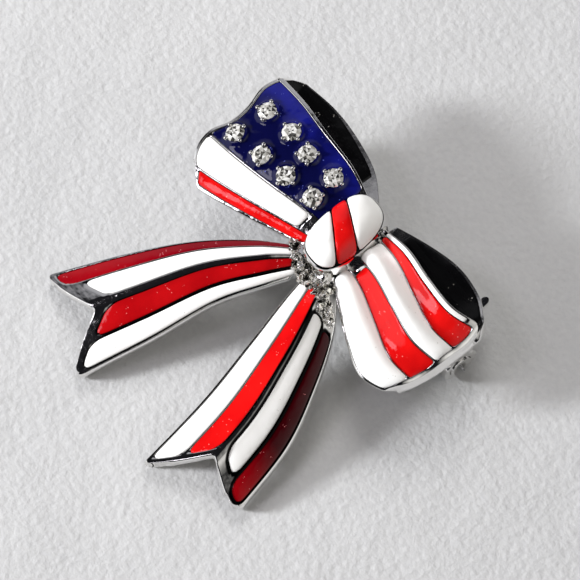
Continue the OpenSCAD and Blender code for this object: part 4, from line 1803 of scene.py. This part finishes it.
@dataclass(frozen=True)
class Lamp:
    """An area light aimed at the brooch, in metres and watts; mirrored says if the metal shows it."""

    name: str
    place: Axes
    size: float
    power: float
    colour: Colour
    mirrored: bool = False


BLACK, WINDOW_GLARE = (0.0, 0.0, 0.0), (5.0, 4.8, 5.3)


@dataclass(frozen=True)
class Studio:
    """The paper, the room that the metal mirrors, the lights and the camera.

    tones are the room's bright sides, each a direction and the colours by how near it one looks. The
    camera stands at distance from the knot, in metres, and sees the knot at knot_px of the picture.
    """

    azimuth: float = 51.7
    elevation: float = 65.0
    distance: float = 0.25
    focal_px: float = 2700.0
    picture: int = 580
    knot_px: Pair = (344.0, 232.0)
    knot: Axes = (0.000985, 0.008755, 0.0092)
    paper_size: float = 1.6
    tones: tuple = (
        ((-0.58, -0.78, 0.26), ((0.83, BLACK), (0.88, (0.90, 0.92, 0.97)), (1.0, (1.0, 1.0, 1.0)))),
        ((-0.33, -0.52, 0.79), ((0.986, BLACK), (0.990, WINDOW_GLARE), (1.0, WINDOW_GLARE))),
        ((-0.80, 0.45, 0.50), ((0.84, BLACK), (0.89, (0.32, 0.32, 0.345)), (1.0, (0.44, 0.44, 0.465)))),
        ((0.80, 0.30, 0.50), ((0.68, (0.010, 0.010, 0.012)), (0.88, (0.55, 0.54, 0.52)),
                              (1.0, (0.92, 0.91, 0.89)))))
    lamps: tuple[Lamp, ...] = (
        Lamp("window", (-0.345, -0.464, 0.225), 0.11, 5.25, (0.965, 0.98, 1.0)),
        Lamp("window middle", (-0.345, -0.464, 0.225), 0.05, 0.30, (1.0, 1.0, 1.0), True),
        Lamp("sky", (-0.35, 0.30, 0.45), 0.25, 1.7, (1.0, 0.99, 0.97)),
        Lamp("ceiling", (0.02, 0.03, 0.60), 0.90, 0.78, (1.0, 0.94, 0.85)))

    def build(self) -> None:
        """Makes all of it."""
        bpy.ops.mesh.primitive_plane_add(size=self.paper_size, location=(0, 0, 0))
        paper = bpy.context.object
        paper.name = "paper"
        paper.data.materials.append(material(Finish.PAPER))
        self.room()
        self.lights()
        self.camera()
        view = bpy.context.scene.view_settings
        view.view_transform, view.look = "Standard", "None"

    def room(self) -> None:
        """A dim room with its bright sides."""
        world = bpy.data.worlds.new("room")
        bpy.context.scene.world = world
        world.use_nodes = True
        room = Nodes(world.node_tree)
        room.tree.nodes.clear()
        where = room.node("ShaderNodeTexCoord").outputs["Generated"]
        total: Optional[Socket] = None
        for direction, marks in self.tones:
            near = room.node("ShaderNodeVectorMath", {0: where, 1: Vector(direction).normalized()},
                             operation="DOT_PRODUCT").outputs["Value"]
            tone = room.colours(near, marks)
            total = tone if total is None else room.node(
                "ShaderNodeVectorMath", {0: total, 1: tone}, operation="ADD").outputs["Vector"]
        back = room.node("ShaderNodeBackground", {"Strength": 1.0, "Color": total})
        room.node("ShaderNodeOutputWorld", {"Surface": back.outputs["Background"]})

    def lights(self) -> None:
        """A low window light with its small bright middle, some sky and a wide weak ceiling."""
        for lamp in self.lamps:
            data = bpy.data.lights.new(lamp.name, "AREA")
            data.shape, data.size = "SQUARE", lamp.size
            data.energy, data.color = lamp.power, lamp.colour
            thing = put(lamp.name, data)
            thing.location = lamp.place
            thing.rotation_euler = (-Vector(lamp.place)).to_track_quat("-Z", "Y").to_euler()
            thing.visible_glossy = lamp.mirrored

    def camera(self) -> None:
        """The camera, at the photograph's angle and distance."""
        a, e = math.radians(self.azimuth), math.radians(self.elevation)
        back = Vector((math.sin(a) * math.cos(e), -math.cos(a) * math.cos(e), math.sin(e)))
        right = Vector((math.cos(a), math.sin(a), 0))
        up = back.cross(right)
        middle = self.picture / 2
        aim = (-back + right * (middle - self.knot_px[0]) / self.focal_px
               - up * (middle - self.knot_px[1]) / self.focal_px).normalized()
        side = (right - aim * right.dot(aim)).normalized()
        data = bpy.data.cameras.new("camera")
        data.sensor_width = 36.0
        data.lens = self.focal_px / self.picture * data.sensor_width
        data.clip_start = 0.01
        camera = put("camera", data)
        turn = Matrix((side, side.cross(aim), -aim)).transposed()
        camera.matrix_world = Matrix.Translation(Vector(self.knot) + back * self.distance) @ turn.to_4x4()
        bpy.context.scene.camera = camera


def left_loop() -> StarLoop:
    """The starred loop.

    Returns:
        Its builder.
    """
    return StarLoop(
        name="left_loop", side=-1, table=LEFT_FRONT, back=LEFT_BACK, swell=LEFT_SWELL, pleat=0.0,
        lines=[Line(0.026, 0.026, 0.18), Line(0.150, 0.099, 0.24), Line(0.342, 0.320, 0.30),
               Line(0.966, 0.966, 0.2)],
        cells=[Cell("red", Finish.RED, 0.5, 3.74, 0.75, 0.22, 0.08),
               Cell("white", Finish.WHITE, 0.85, 3.90, 0.5, 0.22, 0.22),
               Cell("blue", Finish.BLUE, 0.5, 3.89, 0.4, 0.20, 0.05, 0.5, 0.11)],
        far_corners=(1.6, 0.5), lining_stop=1.0, lining_t=(0.30, 0.974), lining_taper=0.035)


def right_loop() -> Loop:
    """The pleated striped loop.

    Returns:
        Its builder.
    """
    return Loop(
        name="right_loop", side=1, table=RIGHT_FRONT, back=RIGHT_BACK, swell=RIGHT_SWELL, pleat=0.43,
        lines=[Line(0.02, 0.02), Line(0.28, 0.215, bow=0.085), Line(0.45, 0.485, bow=0.065),
               Line(0.86, 0.67, bow=0.030), Line(0.930, 0.940, 0.12), Line(0.985, 0.985, 0.12)],
        cells=[Cell("white_low", Finish.WHITE, 0.5, 3.768, 0.6, 0.22, 0.22),
               Cell("red_low", Finish.RED, 0.74, 3.768, 0.4, 0.20, 0.10),
               Cell("white_mid", Finish.WHITE, 0.5, 3.768, 0.4, 0.22, 0.24),
               Cell("red_high", Finish.RED, 0.5, 3.74, 0.5, 0.20, 0.10),
               Cell("white_rim", Finish.WHITE, 0.5, 3.45, 0.3, 0.22, 0.08)],
        far_corners=(0.9, 1.5), lining_stop=0.5, lining_t=(0.30, 0.955),
        roll_from=3.77, roll_r=1.0, pull=3.0)


def tail_cell(name: str, kind: Finish, start: float, end: float) -> Cell:
    """A tail's cell; the white ones are puffier."""
    return Cell(name, kind, start, end, 0.7, 0.21, 0.14 if kind is Finish.WHITE else 0.06)


def left_tail() -> Tail:
    """The tail at the bow's left.

    Returns:
        Its builder.
    """
    return Tail(
        name="left_tail", table=LEFT_TAIL, fold=0.44, far_corners=(0.6, 1.0), high_groove=0.26,
        lines=[Line(0.045, 0.035), Line(0.205, 0.185, 0.22), Line(0.44, 0.425, 0.20, 0.075),
               Line(0.765, 0.75, 0.40), Line(0.955, 0.965)],
        cells=[tail_cell("red_outer", Finish.SHADED_RED, 0.5, 3.86),
               tail_cell("white_outer", Finish.WHITE, 0.5, 3.70),
               tail_cell("red_inner", Finish.HALF_SHADED_RED, 0.5, 3.80),
               tail_cell("white_inner", Finish.WHITE, 0.5, 3.82)])


def right_tail() -> Tail:
    """The tail at the bow's right.

    Returns:
        Its builder.
    """
    return Tail(
        name="right_tail", table=RIGHT_TAIL, fold=0.51, far_corners=(0.5, 1.0), high_groove=0.5,
        ridge_h=1.35,
        lines=[Line(0.045, 0.035), Line(0.275, 0.265, 0.22), Line(0.505, 0.49, 0.20, 0.070),
               Line(0.785, 0.775, 0.42), Line(0.955, 0.965)],
        cells=[tail_cell("white_inner", Finish.WHITE, 0.5, 3.86),
               tail_cell("red_inner", Finish.RED, 0.5, 3.86),
               tail_cell("white_outer", Finish.WHITE, 1.05, 3.79),
               tail_cell("red_outer", Finish.DEEP_SHADED_RED, 1.15, 3.87)])


def knot() -> Knot:
    """The knot, with its two white cells and the red one between them.

    Returns:
        Its builder.
    """
    return Knot([KnotCell("white_low", Finish.WHITE, (-6.0, 0), (-1.15, -0.64), 0.34, (-0.2, -2.4)),
                 KnotCell("red", Finish.RED, (-1.15, -0.64), (1.05, -0.50), 0.18, (-0.5, 0.0)),
                 KnotCell("white_high", Finish.WHITE, (1.05, -0.50), (6.0, 0), 0.28, (-0.6, 2.6))])


def main() -> None:
    """Builds the brooch on its frame, then the studio."""
    logging.basicConfig(level=logging.INFO, format="%(message)s")
    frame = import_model()
    star = left_loop()
    for part in (star, right_loop(), left_tail(), right_tail(), knot(), Jewels(star), Roots(),
                 PinWork(frame)):
        for thing in part.build():
            triangles = sum(len(face.vertices) - 2 for face in thing.data.polygons)
            LOG.info("%s: %d triangles", thing.name, triangles)
    Studio().build()


if __name__ == "__main__":
    main()
